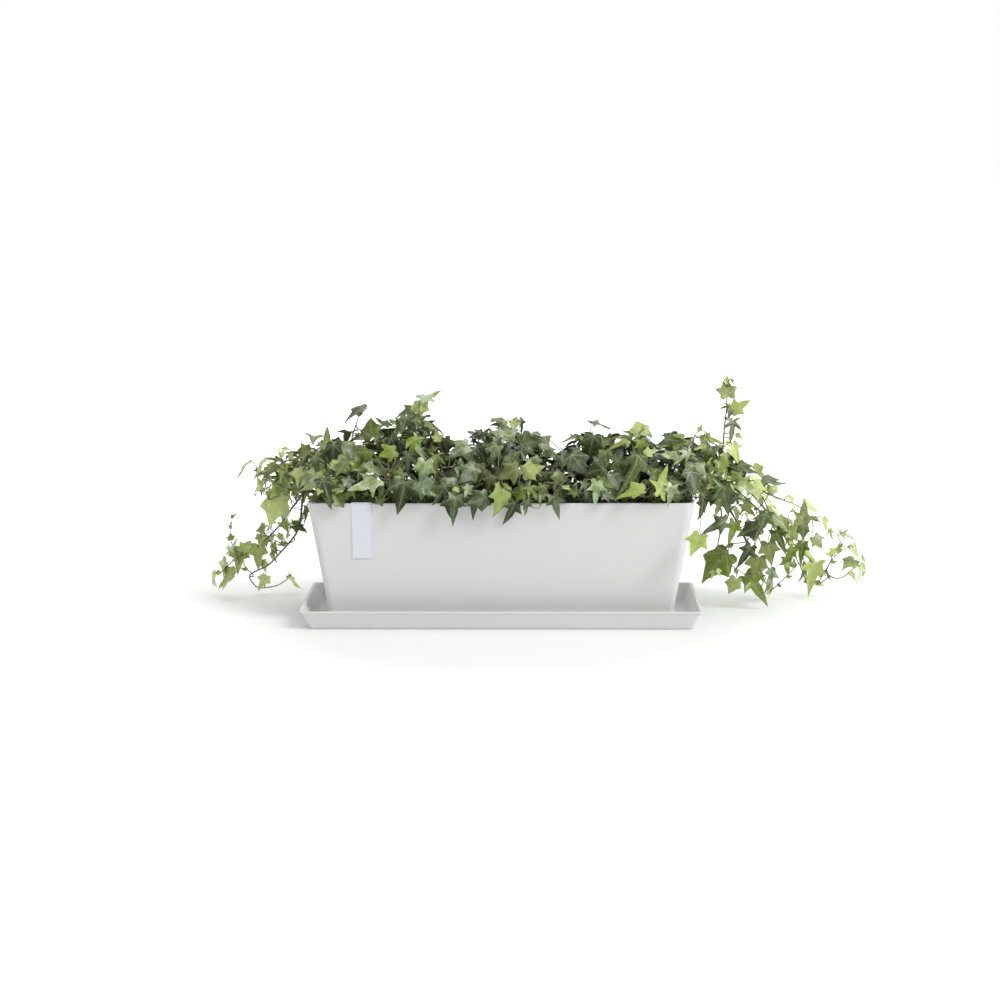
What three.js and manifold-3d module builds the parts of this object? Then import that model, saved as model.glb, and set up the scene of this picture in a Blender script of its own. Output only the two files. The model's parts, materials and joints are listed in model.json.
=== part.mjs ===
// A long tapered planter standing in its saucer, planted with ivy that spills over the rim.
// Millimetres, +Z up. The origin is the middle of the saucer's underside, +X runs along the planter
// to the right, and -Y is the front, where the tag hangs.
import * as THREE from "three";
import { mergeVertices } from "three/addons/utils/BufferGeometryUtils.js";
import Module from "manifold-3d";

const wasm = await Module();
wasm.setup();

// Driving sizes

const GAP = 0.3; // air between pieces that touch

const pot = {
  length: 550, depth: 170, height: 178, // over the rim
  endDraft: 29, sideDraft: 24, // how far each end and each long side comes in from rim to foot
  wall: 4, floor: 4,
  rimCorner: 14, footCorner: 7.5, footRound: 2.5, insideRound: 7,
};

const drain = { diameter: 12, count: 6, sides: 16 };

const saucer = {
  margin: 13, height: 28, // its lip reaches this far past the pot's rim all round
  lean: 13.5, // its underside lies this far inside the lip all round
  wall: 2.4, floor: 2.5,
  lip: 5.6, lipThickness: 2.2, lipRound: 0.7, lipCorner: 9,
  rimCorner: 13, footCorner: 9, footRound: 1.8, insideRound: 3,
};

// Ribs across the saucer's floor hold the pot off the water. They end this far inside the pot's foot.
const rib = { height: 2.2, width: 3, inset: 13, count: 4, sunk: 0.6 };

// The tag is a bare strap folded over the front of the rim. It hangs down outside, and a little inside.
const tag = { centre: -197, width: 28.5, outside: 81, inside: 9, thickness: 0.7 };

// The soil's edge lies this far below the pot's rim, and its middle is crowned.
const soil = { below: 12, crown: 4, shoulder: 16 };

// Each root goes this deep, and its stem stands upright as far as the neck.
const root = { depth: 13, neck: 6, clearance: 0.5 };

const stem = { base: 1.7, tip: 0.8, sides: 4, step: 28 };

const leaf = {
  length: 41, shootLength: 26, thickness: 1.5, // the shoot that stands up at the right end has small leaves
  spread: 0.18, // how much lengths vary, as a share
  cup: 0.2, droop: 0.24, // how far the sides rise and the tip falls, in shares of the length
  stalk: 0.75, stalkShort: 14, stalkLong: 30,
  spacing: 44, trailSpacing: 31, // along a stem in the bed, and along a trailing one
  first: 20, last: 0.995, // how far along the stem its first leaf stands, and its last, as a share
  shrink: 0.1, trailShrink: 0.3, // how much smaller the last leaf is
  overhang: 17, // how far leaves may hang below the rim on the long sides
  neatFrom: 95, neatOverhang: 2, // right of this place those at the front keep up at the rim
  clearance: 0.7, clearOfStem: 4.2, tries: 24,
};

// How stalks leave a stem and how leaves look: shares of each direction, added up.
const habit = {
  spine: 0.75, // leaves face away from a line this share of the pot's length
  stalkOut: 0.7, stalkUp: 0.45, stalkAside: 0.7, stalkOn: 0.2, lastStalkOn: 1.2,
  faceOut: 0.75, faceUp: 0.55, faceFront: 0.3,
  tipDown: 0.8, tipOut: 0.5, tipOn: 0.3,
  scatter: 0.7, moreScatter: 0.08, // more with each try
};

// The crown that the leaves close over the bed. Its ridge is given from the left end to the right, as
// shares of the pot's half length and millimetres over the rim. Where it is high it is also narrower.
const crown = {
  ridge: [
    [-1.2, 42], [-1.01, 79], [-0.77, 76], [-0.46, 121], [-0.36, 112], [-0.22, 70], [-0.02, 103],
    [0.11, 97], [0.28, 57], [0.52, 89], [0.74, 95], [1.01, 83], [1.27, 53],
  ],
  foot: -4, reach: 1.22, // its edge: over the rim, and as a share of the pot's half depth
  wideUpTo: 44, narrowAt: 134, narrow: 0.55,
  frontFall: 0.75, backFall: 1.4,
  leafSize: 1.05, spacing: 38, rows: 7, // of the leaves that close it; the size is a share of the others'
  open: 26, deep: 22, longestStalk: 64, // how near the next leaf may be, beside it and below it
};

// Everything below follows from the sizes.

const CORNER_STEPS = 5;
const SHARPEST = 0.5; // radius of the sharpest corner of an outline
const seat = saucer.floor + rib.height + GAP; // height of the pot's foot above the table
const rim = seat + pot.height; // above the table
const soilLevel = pot.height - soil.below; // above the pot's foot
const table = soil.below - rim; // seen from the soil's edge, where the planting is measured from
const footLength = pot.length - 2 * pot.endDraft;
const footDepth = pot.depth - 2 * pot.sideDraft;
const saucerLength = pot.length + 2 * saucer.margin;
const saucerDepth = pot.depth + 2 * saucer.margin;

const mix = (a, b, t) => a + (b - a) * t;
const radians = (degrees) => (degrees * Math.PI) / 180;
const vec = (x, y, z) => new THREE.Vector3(x, y, z);
const UP = vec(0, 0, 1);
const FRONT = vec(0, -1, 0);

// A place moved by so much along each of several directions.
const movedBy = (place, ...moves) =>
  moves.reduce((p, [way, amount]) => p.addScaledVector(way, amount), place.clone());

// Angles that step through an arc, both ends included.
const arc = (from, to, steps) =>
  Array.from({ length: steps + 1 }, (_, k) => radians(mix(from, to, k / steps)));

// A geometry from corner points and triangles that turn anticlockwise seen from outside.
function skin(points, triangles) {
  const geometry = new THREE.BufferGeometry();
  geometry.setAttribute("position", new THREE.Float32BufferAttribute(points.flat(), 3));
  geometry.setIndex(triangles.flat());
  return geometry;
}

// A closed geometry as a solid that can be joined and cut.
function toSolid(geometry) {
  const bare = new THREE.BufferGeometry();
  bare.setAttribute("position", geometry.getAttribute("position"));
  bare.setIndex(geometry.getIndex());
  const merged = mergeVertices(bare);
  return new wasm.Manifold(
    new wasm.Mesh({
      numProp: 3,
      vertProperties: new Float32Array(merged.getAttribute("position").array),
      triVerts: new Uint32Array(merged.getIndex().array),
    }),
  );
}

function toGeometry(solid) {
  const mesh = solid.getMesh();
  const geometry = new THREE.BufferGeometry();
  geometry.setAttribute("position", new THREE.BufferAttribute(mesh.vertProperties, mesh.numProp));
  geometry.setIndex(new THREE.BufferAttribute(mesh.triVerts, 1));
  return geometry;
}

const join = (geometries) => geometries.map(toSolid).reduce((a, b) => a.add(b));
const cut = (geometry, tools) =>
  tools.map(toSolid).reduce((a, b) => a.subtract(b), toSolid(geometry));

// A closed skin through a stack of loops with the same number of points, with a flat lid at each end.
function loft(loops) {
  const n = loops[0].length;
  const last = (loops.length - 1) * n;
  const triangles = [];
  for (let i = 0; i < last; i += n)
    for (let k = 0; k < n; k++) {
      const next = (k + 1) % n;
      triangles.push([i + k, i + next, i + n + next], [i + k, i + n + next, i + n + k]);
    }
  for (let k = 1; k + 1 < n; k++) triangles.push([0, k + 1, k], [last, last + k, last + k + 1]);
  return skin(loops.flat(), triangles);
}

// A rounded rectangle at height z, from half its length, half its depth and its corner radius.
function loop(halfLength, halfDepth, corner, z) {
  const r = Math.max(corner, SHARPEST);
  return [[1, 1], [-1, 1], [-1, -1], [1, -1]].flatMap(([sx, sy], quarter) =>
    arc(quarter * 90, quarter * 90 + 90, CORNER_STEPS).map((a) => [
      sx * (halfLength - r) + r * Math.cos(a),
      sy * (halfDepth - r) + r * Math.sin(a),
      z,
    ]),
  );
}

// An upright round bar from height low to height high.
function post(x, y, radius, low, high, sides) {
  const bar = new THREE.CylinderGeometry(radius, radius, high - low, sides);
  return bar.rotateX(Math.PI / 2).translate(x, y, (low + high) / 2);
}

function block(low, high) {
  const size = high.map((v, k) => v - low[k]);
  const middle = high.map((v, k) => (v + low[k]) / 2);
  return new THREE.BoxGeometry(...size).translate(...middle);
}

// Places of evenly spaced things along the pot's foot.
const alongFoot = ({ count }) =>
  Array.from({ length: count }, (_, k) => ((k + 0.5) / count - 0.5) * footLength);

// Saucer: a shallow tray with leaning walls, a lip turned out at the rim, and ribs on the floor.

function saucerLoop(z, out, corner) {
  const t = z / (saucer.height - saucer.lipRound);
  const inset = mix(saucer.lean, saucer.lip, t);
  return loop(
    saucerLength / 2 - inset + out,
    saucerDepth / 2 - inset + out,
    corner ?? mix(saucer.footCorner, saucer.rimCorner, t) + out,
    z,
  );
}

function ribBar(x) {
  const outline = new THREE.Shape();
  const r = rib.width / 2;
  const end = footDepth / 2 - rib.inset - r;
  outline.absarc(0, end, r, 0, Math.PI).absarc(0, -end, r, Math.PI, 2 * Math.PI);
  const bar = new THREE.ExtrudeGeometry(outline, {
    depth: rib.height + rib.sunk, bevelEnabled: false, curveSegments: 4,
  });
  return bar.translate(x, 0, saucer.floor - rib.sunk);
}

function saucerSolid() {
  const { height, wall, floor, lip, lipRound, lipCorner, footRound, insideRound } = saucer;
  const underLip = height - saucer.lipThickness;
  const foot = arc(0, 90, 2).map((a) =>
    saucerLoop(footRound * (1 - Math.cos(a)), footRound * (Math.sin(a) - 1)),
  );
  const rolledLip = [
    saucerLoop(underLip, 0),
    saucerLoop(underLip, lip - lipRound, lipCorner),
    saucerLoop(underLip + lipRound, lip, lipCorner),
    saucerLoop(height - lipRound, lip, lipCorner),
    saucerLoop(height, lip - lipRound, lipCorner),
    saucerLoop(height, lipRound - wall),
    saucerLoop(height - lipRound, -wall),
  ];
  const hollow = arc(0, 90, 3).map((a) =>
    saucerLoop(floor + insideRound * (1 - Math.sin(a)), -wall - insideRound * (1 - Math.cos(a))),
  );
  return join([loft([...foot, ...rolledLip, ...hollow]), ...alongFoot(rib).map(ribBar)]);
}

// Pot: a drafted trough. Its corners are cones, wider at the rim than at the foot.

function potLoop(z, inset) {
  const t = z / (pot.height - pot.wall / 2); // full width where the rim starts to round over
  return loop(
    mix(footLength, pot.length, t) / 2 - inset,
    mix(footDepth, pot.depth, t) / 2 - inset,
    mix(pot.footCorner, pot.rimCorner, t) - inset,
    z,
  );
}

// The round between the pot's floor and its walls on the inside, shrunk by a margin, from the floor up.
function insideFoot(margin) {
  const r = pot.insideRound;
  return arc(90, 0, 3).map((a) =>
    potLoop(pot.floor + margin + r * (1 - Math.sin(a)), pot.wall + margin + r * (1 - Math.cos(a))),
  );
}

function potSolid() {
  const r = pot.footRound;
  const edge = pot.wall / 2;
  const foot = arc(0, 90, 2).map((a) => potLoop(r * (1 - Math.cos(a)), r * (1 - Math.sin(a))));
  const roundedRim = arc(0, 180, 5).map((a) =>
    potLoop(pot.height - edge + edge * Math.sin(a), edge * (1 - Math.cos(a))),
  );
  const shell = loft([...foot, ...roundedRim, ...insideFoot(0).reverse()]);
  const holes = alongFoot(drain).map((x) =>
    post(x, 0, drain.diameter / 2, -pot.floor, 2 * pot.floor, drain.sides),
  );
  return cut(shell, holes);
}

// Tag: its side view is drawn round the rim's middle line and stood up across the pot's front.

function tagSolid() {
  const edge = pot.wall / 2;
  const lean = pot.sideDraft / (pot.height - edge);
  const strip = (off) => {
    const end = (down, start) => [start + (down - edge) * lean, -down];
    const fold = arc(180, 0, 6).map((a) => [(edge + off) * Math.cos(a), (edge + off) * Math.sin(a) - edge]);
    return [end(tag.outside, -edge - off), ...fold, end(tag.inside, edge + off)];
  };
  const side = [...strip(GAP + tag.thickness), ...strip(GAP).reverse()];
  const outline = new THREE.Shape(side.map(([x, y]) => new THREE.Vector2(x, y)));
  const band = new THREE.ExtrudeGeometry(outline, { depth: tag.width, bevelEnabled: false });
  band.translate(0, 0, -tag.width / 2);
  const upright = new THREE.Matrix4().makeBasis(vec(0, 1, 0), vec(0, 0, 1), vec(1, 0, 0));
  return toSolid(band.applyMatrix4(upright));
}

const tagPlace = vec(tag.centre, pot.wall / 2 - pot.depth / 2, pot.height);

// Soil: fills the pot, with a socket for the root of every vine. Its zero height is its edge at the wall.

function soilSolid(vines) {
  const inset = pot.wall + GAP;
  const fill = loft([
    ...insideFoot(GAP),
    ...arc(0, 90, 2).map((a) =>
      potLoop(soilLevel + soil.crown * Math.sin(a), inset + soil.shoulder * (1 - Math.cos(a))),
    ),
  ]).translate(0, 0, -soilLevel);
  const radius = stem.base + root.clearance;
  const low = -root.depth - GAP;
  const sockets = vines.map(({ from }) =>
    post(from.x, from.y, radius, low, 2 * soil.crown, stem.sides),
  );
  return cut(fill, sockets);
}

// Ivy routes. Each vine is rooted in the soil at its first place and grows through the others. "over" is a
// place above the pot: shares of its half length and half depth, and the height over the rim. "past" is a
// place beyond one end: how far past the rim, how far behind the middle, and its height above the table as
// a share of the rim's.

const over = (along, across, up) =>
  vec((along * pot.length) / 2, (across * pot.depth) / 2, soil.below + up);
const past = (out, back, share) =>
  vec(out + (Math.sign(out) * pot.length) / 2, back, table + share * rim);
const rooted = (along, across) => over(along, across, -soil.below);

const routes = {
  front: [
    [rooted(-0.86, -0.47), over(-0.88, -0.73, 24), over(-0.91, -1.02, 31), over(-0.92, -1.14, 22)],
    [rooted(-0.58, -0.52), over(-0.57, -0.73, 28), over(-0.57, -0.96, 36), over(-0.56, -1.13, 24)],
    [rooted(-0.32, -0.5), over(-0.29, -0.7, 24), over(-0.26, -0.96, 30), over(-0.24, -1.13, 22)],
    [rooted(-0.05, -0.52), over(-0.03, -0.75, 30), over(0, -0.96, 36), over(0.01, -1.13, 24)],
    [rooted(0.22, -0.5), over(0.25, -0.7, 22), over(0.29, -0.92, 28), over(0.32, -1.07, 24)],
    [rooted(0.49, -0.52), over(0.49, -0.73, 28), over(0.5, -0.84, 40), over(0.49, -0.95, 34)],
    [rooted(0.76, -0.5), over(0.78, -0.73, 28), over(0.81, -0.84, 38), over(0.83, -0.95, 32)],
  ],
  top: [
    [rooted(-0.73, 0.05), over(-0.77, 0.05, 40), over(-0.79, 0.02, 78), over(-0.75, -0.05, 112)],
    [rooted(-0.53, -0.02), over(-0.5, -0.05, 48), over(-0.46, -0.09, 88), over(-0.43, -0.09, 120)],
    [rooted(-0.32, 0.02), over(-0.34, -0.07, 34), over(-0.31, -0.14, 66)],
    [rooted(-0.09, -0.02), over(-0.07, -0.05, 42), over(-0.03, -0.09, 76), over(0.01, -0.12, 100)],
    [rooted(0.2, 0), over(0.17, -0.07, 32), over(0.2, -0.14, 62)],
    [rooted(0.41, -0.05), over(0.44, -0.09, 44), over(0.47, -0.12, 82)],
    [rooted(0.65, 0), over(0.68, -0.05, 46), over(0.73, -0.09, 90)],
    [rooted(0.83, -0.07), over(0.87, -0.09, 36), over(0.92, -0.09, 72)],
  ],
  back: [
    [rooted(-0.79, 0.49), over(-0.82, 0.73, 28), over(-0.84, 1.04, 36), over(-0.86, 1.22, 22)],
    [rooted(-0.41, 0.52), over(-0.41, 0.73, 32), over(-0.39, 1, 40), over(-0.38, 1.22, 24)],
    [rooted(-0.03, 0.52), over(-0.01, 0.73, 30), over(0.01, 1, 38), over(0.03, 1.24, 22)],
    [rooted(0.36, 0.52), over(0.38, 0.73, 32), over(0.39, 1, 38), over(0.4, 1.22, 24)],
    [rooted(0.73, 0.49), over(0.76, 0.73, 30), over(0.79, 1, 36), over(0.81, 1.23, 22)],
  ],
  left: [
    [
      rooted(-0.93, -0.26), over(-1, -0.31, 39), past(-29, -26, 1.29), past(-55, -22, 1.2),
      past(-71, -18, 1.07),
    ],
    [rooted(-0.94, 0), over(-1, 0, 15), past(-23, -2, 1.02), past(-47, -8, 1.07), past(-75, -12, 1.18)],
  ],
  left_trailing: [
    [
      rooted(-0.93, 0.24), over(-1, 0.24, 19), past(-17, 22, 0.96), past(-24, 30, 0.7),
      past(-43, 46, 0.54), past(-79, 66, 0.33), past(-109, 92, 0.22), past(-105, 128, 0.08),
      past(-77, 146, 0.06), past(-59, 142, 0.13),
    ],
    [
      rooted(-0.92, 0.47), over(-1, 0.54, 21), past(-25, 54, 0.92), past(-59, 68, 0.67),
      past(-97, 84, 0.46), past(-133, 102, 0.34), past(-161, 120, 0.19),
    ],
  ],
  right_trailing: [
    [
      rooted(0.92, -0.33), over(1, -0.42, 29), past(25, -40, 1.11), past(41, -38, 0.92),
      past(39, -30, 0.63), past(37, -18, 0.4),
    ],
    [
      rooted(0.94, -0.09), past(5, -10, 1.21), past(41, -8, 1.25), past(77, 0, 1.14),
      past(109, 12, 0.92), past(123, 24, 0.7),
    ],
    [
      rooted(0.93, 0.14), past(5, 12, 1.11), past(37, 12, 1.01), past(71, 20, 0.73), past(97, 40, 0.45),
      past(121, 66, 0.19), past(129, 84, 0.09),
    ],
    [
      rooted(0.92, 0.35), past(5, 34, 1.17), past(51, 38, 1.07), past(105, 44, 0.82),
      past(157, 56, 0.54), past(199, 72, 0.32), past(233, 88, 0.2), past(261, 104, 0.27),
    ],
    [
      rooted(0.89, 0.59), over(1, 0.71, 25), past(39, 72, 0.99), past(77, 84, 0.69),
      past(103, 96, 0.39), past(117, 108, 0.19),
    ],
    [
      rooted(0.83, 0.35), over(0.95, 0.66, 39), past(37, 58, 1.2), past(91, 72, 0.96),
      past(139, 88, 0.64), past(171, 104, 0.35), past(189, 118, 0.14),
    ],
    [
      rooted(0.84, 0.14), over(0.98, 0.28, 49), past(45, 26, 1.23), past(109, 26, 0.99),
      past(161, 28, 0.86), past(183, 30, 0.77),
    ],
  ],
  shoot: [
    [
      rooted(0.95, -0.24), past(9, -20, 1.13), past(35, 0, 1.17), past(45, 12, 1.31),
      past(51, 18, 1.62), past(53, 18, 1.85),
    ],
  ],
};

const vines = Object.entries(routes).flatMap(([side, rows]) =>
  rows.map(([from, ...route], k) => ({
    name: `ivy_${side}_${k + 1}`,
    trails: side === "shoot" || side.endsWith("trailing"),
    leafLength: side === "shoot" ? leaf.shootLength : leaf.length,
    from,
    route,
  })),
);

// A tapering bar along a path: the stem of a vine.
function taperedBar(path) {
  let across = vec(1, 0, 0);
  return loft(
    path.map((point, i) => {
      const before = path[Math.max(i - 1, 0)];
      const after = path[Math.min(i + 1, path.length - 1)];
      const along = after.clone().sub(before).normalize();
      across = across.clone().addScaledVector(along, -across.dot(along)).normalize();
      const other = along.clone().cross(across);
      const r = mix(stem.base, stem.tip, i / (path.length - 1));
      return Array.from({ length: stem.sides }, (_, k) => {
        const a = (2 * Math.PI * k) / stem.sides;
        return movedBy(point, [across, r * Math.cos(a)], [other, r * Math.sin(a)]).toArray();
      });
    }),
  );
}

// Half a leaf's outline from the stalk round to the tip, in shares of its length: along it and across it.
const LOBES = [[-0.02, 0.34], [0.43, 0.5], [0.58, 0.19]];
const HEART = 0.3; // where the veins meet, the leaf's thickest place

// A leaf with its stalk in one closed skin: a three-sided stalk runs from the stem to the leaf's base,
// and the blade grows out of its end and thins out to its edge. "tip" is the way the blade points and
// "face" the way it looks. "more" fattens it all round, to find whether it has room.
function leafSkin({ from, base, tip, face, length }, more = 0) {
  const across = face.clone().cross(tip);
  const size = length + 2 * more;
  const blade = ([u, v], lift = 0) => {
    const bend = size * (leaf.cup * Math.abs(v) - leaf.droop * u * u);
    return movedBy(base, [tip, size * u], [across, size * v], [face, bend + lift]).toArray();
  };
  // The stalk's first ring is square to the stalk, and its last is half turned towards the blade.
  const along = base.clone().sub(from).normalize();
  const middle = along.clone().add(tip).normalize();
  const upper = face.clone().addScaledVector(middle, -face.dot(middle)).normalize();
  const side = upper.clone().cross(middle);
  const firstSide = side.clone().addScaledVector(along, -side.dot(along)).normalize();
  const firstUpper = along.clone().cross(firstSide);
  const thick = leaf.stalk + more;
  const ring = (p, x, y) =>
    [30, 150, 270].map(radians).map((a) =>
      movedBy(p, [x, thick * Math.cos(a)], [y, thick * Math.sin(a)]).toArray(),
    );
  const half = leaf.thickness / 2 + more;
  const edge = [...LOBES, [1, 0], ...LOBES.map(([u, v]) => [u, -v]).reverse()].map((at) => blade(at));
  const heart = [blade([HEART, 0], half), blade([HEART, 0], -half)];
  const points = [...ring(from, firstSide, firstUpper), ...ring(base, side, upper), ...edge, ...heart];
  const [right, left, under, firstEdge] = [3, 4, 5, 6];
  const top = firstEdge + edge.length;
  const bottom = top + 1;
  const outline = [right, ...edge.map((_, k) => firstEdge + k), left];
  const triangles = [[0, 2, 1], [top, right, left], [bottom, left, under], [bottom, under, right]];
  for (let k = 0; k + 1 < outline.length; k++)
    triangles.push([outline[k], top, outline[k + 1]], [outline[k + 1], bottom, outline[k]]);
  for (let k = 0; k < 3; k++) {
    const next = (k + 1) % 3;
    triangles.push([k, next, next + 3], [k, next + 3, k + 3]);
  }
  return skin(points, triangles);
}

const boxes = new Map();
function boxOf(solid) {
  if (!boxes.has(solid)) boxes.set(solid, solid.boundingBox());
  return boxes.get(solid);
}

function meets(a, b) {
  const p = boxOf(a);
  const q = boxOf(b);
  if ([0, 1, 2].some((k) => p.min[k] > q.max[k] || q.min[k] > p.max[k])) return false;
  return a.intersect(b).volume() > 0;
}

// The same row of numbers between 0 and 1 on every run.
function dice(seed) {
  const [times, plus, wrap] = [9301, 49297, 233280];
  let n = (seed * times + plus) % wrap;
  return () => {
    n = (n * times + plus) % wrap;
    return n / wrap;
  };
}

// Where no leaf may be: in the pot's wall or anywhere under its rim, so that the planting lifts out; over
// the saucer, so that the pot lifts off; low on the long sides; below the table; in front of the tag.
function keptClear() {
  const room = leaf.clearance;
  const far = pot.length + saucerLength;
  const side = tag.width / 2 + room;
  const front = -pot.depth / 2;
  const low = soil.below - leaf.overhang;
  const neatLow = soil.below - leaf.neatOverhang;
  const end = pot.length / 2 - pot.rimCorner;
  const column = [table, soil.below + room].map((z) =>
    loop(pot.length / 2 + room, pot.depth / 2 + room, pot.rimCorner, z),
  );
  const mouth = [soilLevel - soil.below, pot.height + soil.below].map((z) =>
    potLoop(z, pot.wall + GAP + room),
  );
  const tray = [table, table + saucer.height + room].map((z) =>
    loop(saucerLength / 2 + room, saucerDepth / 2 + room, saucer.lipCorner, z),
  );
  return [
    cut(loft(column), [loft(mouth).translate(0, 0, -soilLevel)]),
    toSolid(loft(tray)),
    toSolid(block([-far, -far, table - far], [far, far, table + room])),
    toSolid(block([-end, -far, table], [leaf.neatFrom, front, low])),
    toSolid(block([leaf.neatFrom, -far, table], [end, front, neatLow])),
    toSolid(block([-end, -front, table], [end, far, low])),
    toSolid(block([tag.centre - side, -far, table], [tag.centre + side, front, soil.below])),
  ];
}

// The way out from the spine of the planting, a line that runs just above the soil.
function outward(p) {
  const half = (habit.spine * pot.length) / 2;
  const nearest = vec(Math.max(-half, Math.min(half, p.x)), 0, soil.below);
  return p.clone().sub(nearest).normalize();
}

// A place on a path of even steps, at a share of its length, and the way the path runs there.
function placeOn(path, share) {
  const whole = share * (path.length - 1);
  const k = Math.floor(whole);
  const along = path[k + 1].clone().sub(path[k]);
  return { from: movedBy(path[k], [along, whole - k]), along: along.normalize() };
}

// One way a leaf could sit at a place on its stem. "swing" is the side it leans to, -1 or 1.
function leafPose({ from, along }, length, swing, on, roll, scatter) {
  const wild = () => vec(roll() - 0.5, roll() - 0.5, roll() - 0.5).multiplyScalar(scatter);
  const beside = along.clone().cross(UP).normalize();
  const way = wild()
    .addScaledVector(UP, habit.stalkUp)
    .addScaledVector(outward(from), habit.stalkOut)
    .addScaledVector(beside, habit.stalkAside * swing)
    .addScaledVector(along, on)
    .normalize();
  const stalk = (mix(leaf.stalkShort, leaf.stalkLong, roll()) * length) / leaf.length;
  const base = movedBy(from, [way, stalk]);
  const out = outward(base);
  const face = wild()
    .addScaledVector(UP, habit.faceUp)
    .addScaledVector(FRONT, habit.faceFront)
    .addScaledVector(out, habit.faceOut)
    .normalize();
  const tip = wild()
    .addScaledVector(UP, -habit.tipDown)
    .addScaledVector(out, habit.tipOut)
    .addScaledVector(way, habit.tipOn);
  tip.addScaledVector(face, -tip.dot(face)).normalize();
  return { from, base, tip, face, length, way };
}

// Stems, each upright in the soil up to its neck.
function growStems() {
  return vines.map(({ from, route }) => {
    const neck = from.clone().setZ(root.neck);
    const curve = new THREE.CatmullRomCurve3([neck, ...route], false, "centripetal");
    const length = curve.getLength();
    const path = curve.getSpacedPoints(Math.ceil(length / stem.step));
    return { path, length, solid: toSolid(taperedBar([from.clone().setZ(-root.depth), ...path])) };
  });
}

// Places spread evenly over the crown, from the front rim over the ridge to the back rim.
function crownPlaces() {
  const { ridge, rows, foot, reach } = crown;
  const step = (2 * crown.spacing) / pot.length;
  const places = [];
  for (let row = 0; row < rows; row++) {
    const turn = (Math.PI * (row + 0.5)) / rows;
    const fall = row < rows / 2 ? crown.frontFall : crown.backFall;
    for (let along = ridge[0][0] + (row % 2) * 0.5 * step; along < ridge.at(-1)[0]; along += step) {
      const k = ridge.findIndex(([at]) => at > along);
      const [[before, low], [after, high]] = [ridge[k - 1], ridge[k]];
      const rise = mix(low, high, (along - before) / (after - before)) - foot;
      const height = Math.min(1, Math.max(0, (rise - crown.wideUpTo) / (crown.narrowAt - crown.wideUpTo)));
      const across = -reach * Math.cos(turn) * mix(1, mix(1, crown.narrow, height), Math.sin(turn) ** 2);
      places.push({
        place: over(along, across, foot + rise * Math.sin(turn) ** fall),
        out: vec(0, -Math.cos(turn), Math.sin(turn)),
      });
    }
  }
  return places;
}

// Whether a leaf already covers a place on the crown.
function covered({ place, out }, leaves) {
  return leaves.some(({ middle }) => {
    const away = middle.clone().sub(place);
    const up = away.dot(out);
    return up > -crown.deep && away.addScaledVector(out, -up).length() < crown.open;
  });
}

// The stem that passes nearest to a place, and where.
function nearestStem(stems, place) {
  const shares = arc(0, 180, 24).map((a) => mix(0.15, 0.97, a / Math.PI));
  const ways = stems.flatMap(({ path }, index) =>
    vines[index].trails ? [] : shares.map((share) => ({ index, ...placeOn(path, share) })),
  );
  return ways.reduce((a, b) => (a.from.distanceTo(place) < b.from.distanceTo(place) ? a : b));
}

// Every stem first, then leaf after leaf along the stems, each where it clears all that stands already,
// and last the leaves that close the crown.
function growIvy(standing) {
  const stems = growStems();
  const taken = [...keptClear(), ...standing, ...stems.map(({ solid }) => solid)];
  const wholes = stems.map(({ solid }) => solid);
  const leaves = [];
  const grow = (index, pose) => {
    const start = movedBy(pose.from, [pose.way, leaf.clearOfStem]);
    const room = toSolid(leafSkin({ ...pose, from: start }, leaf.clearance));
    if (taken.some((other) => meets(room, other))) return false;
    const grown = toSolid(leafSkin(pose));
    wholes[index] = wholes[index].add(grown);
    taken.push(grown);
    leaves.push({ middle: movedBy(pose.base, [pose.tip, 0.45 * pose.length]) });
    return true;
  };
  vines.forEach(({ trails, leafLength }, index) => {
    const { path, length } = stems[index];
    const apart = trails ? (leaf.trailSpacing * leafLength) / leaf.length : leaf.spacing;
    const count = Math.round((length - leaf.first) / apart);
    const shrink = trails ? leaf.trailShrink : leaf.shrink;
    for (let k = 0; k <= count; k++) {
      const share = mix(leaf.first / length, leaf.last, k / count);
      const place = placeOn(path, share);
      const roll = dice(index * vines.length + k);
      const grown = leafLength * (1 - shrink * share) * mix(1 - leaf.spread, 1 + leaf.spread, roll());
      const on = k === count ? habit.lastStalkOn : habit.stalkOn;
      for (let turn = 0; turn < leaf.tries; turn++) {
        const swing = (k + (turn % 3 === 2)) % 2 ? 1 : -1; // every third try on the other side
        const pose = leafPose(place, grown, swing, on, roll, habit.scatter + habit.moreScatter * turn);
        if (grow(index, pose)) break;
      }
    }
  });
  crownPlaces().forEach((spot, number) => {
    if (covered(spot, leaves)) return;
    const roll = dice(vines.length ** 2 + number);
    for (let turn = 0; turn < leaf.tries; turn++) {
      const scatter = habit.scatter + habit.moreScatter * turn;
      const wild = () => vec(roll() - 0.5, roll() - 0.5, roll() - 0.5).multiplyScalar(scatter);
      const length = leaf.length * crown.leafSize * mix(1, 1 - leaf.spread, roll());
      const face = wild().add(spot.out).addScaledVector(FRONT, habit.faceFront).normalize();
      const tip = wild().addScaledVector(UP, -habit.tipDown).addScaledVector(spot.out, habit.tipOut);
      tip.addScaledVector(face, -tip.dot(face)).normalize();
      const base = movedBy(spot.place, [tip, -0.45 * length], [spot.out, -2]);
      const { index, from } = nearestStem(stems, base);
      const stalk = base.clone().sub(from);
      if (stalk.length() > crown.longestStalk || stalk.length() < leaf.stalkShort) continue;
      if (grow(index, { from, base, tip, face, length, way: stalk.normalize() })) break;
    }
  });
  return vines.map(({ name }, index) => ({ name, solid: wholes[index] }));
}

// Materials

const plastic = new THREE.MeshStandardMaterial({ color: 0xe6e7e6, roughness: 0.62, metalness: 0 });
const film = new THREE.MeshStandardMaterial({ color: 0xeef1f6, roughness: 0.5, metalness: 0 });
const earth = new THREE.MeshStandardMaterial({ color: 0x2a221b, roughness: 1, metalness: 0 });
const green = new THREE.MeshStandardMaterial({ color: 0x4d6b35, roughness: 0.55, metalness: 0 });

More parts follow.
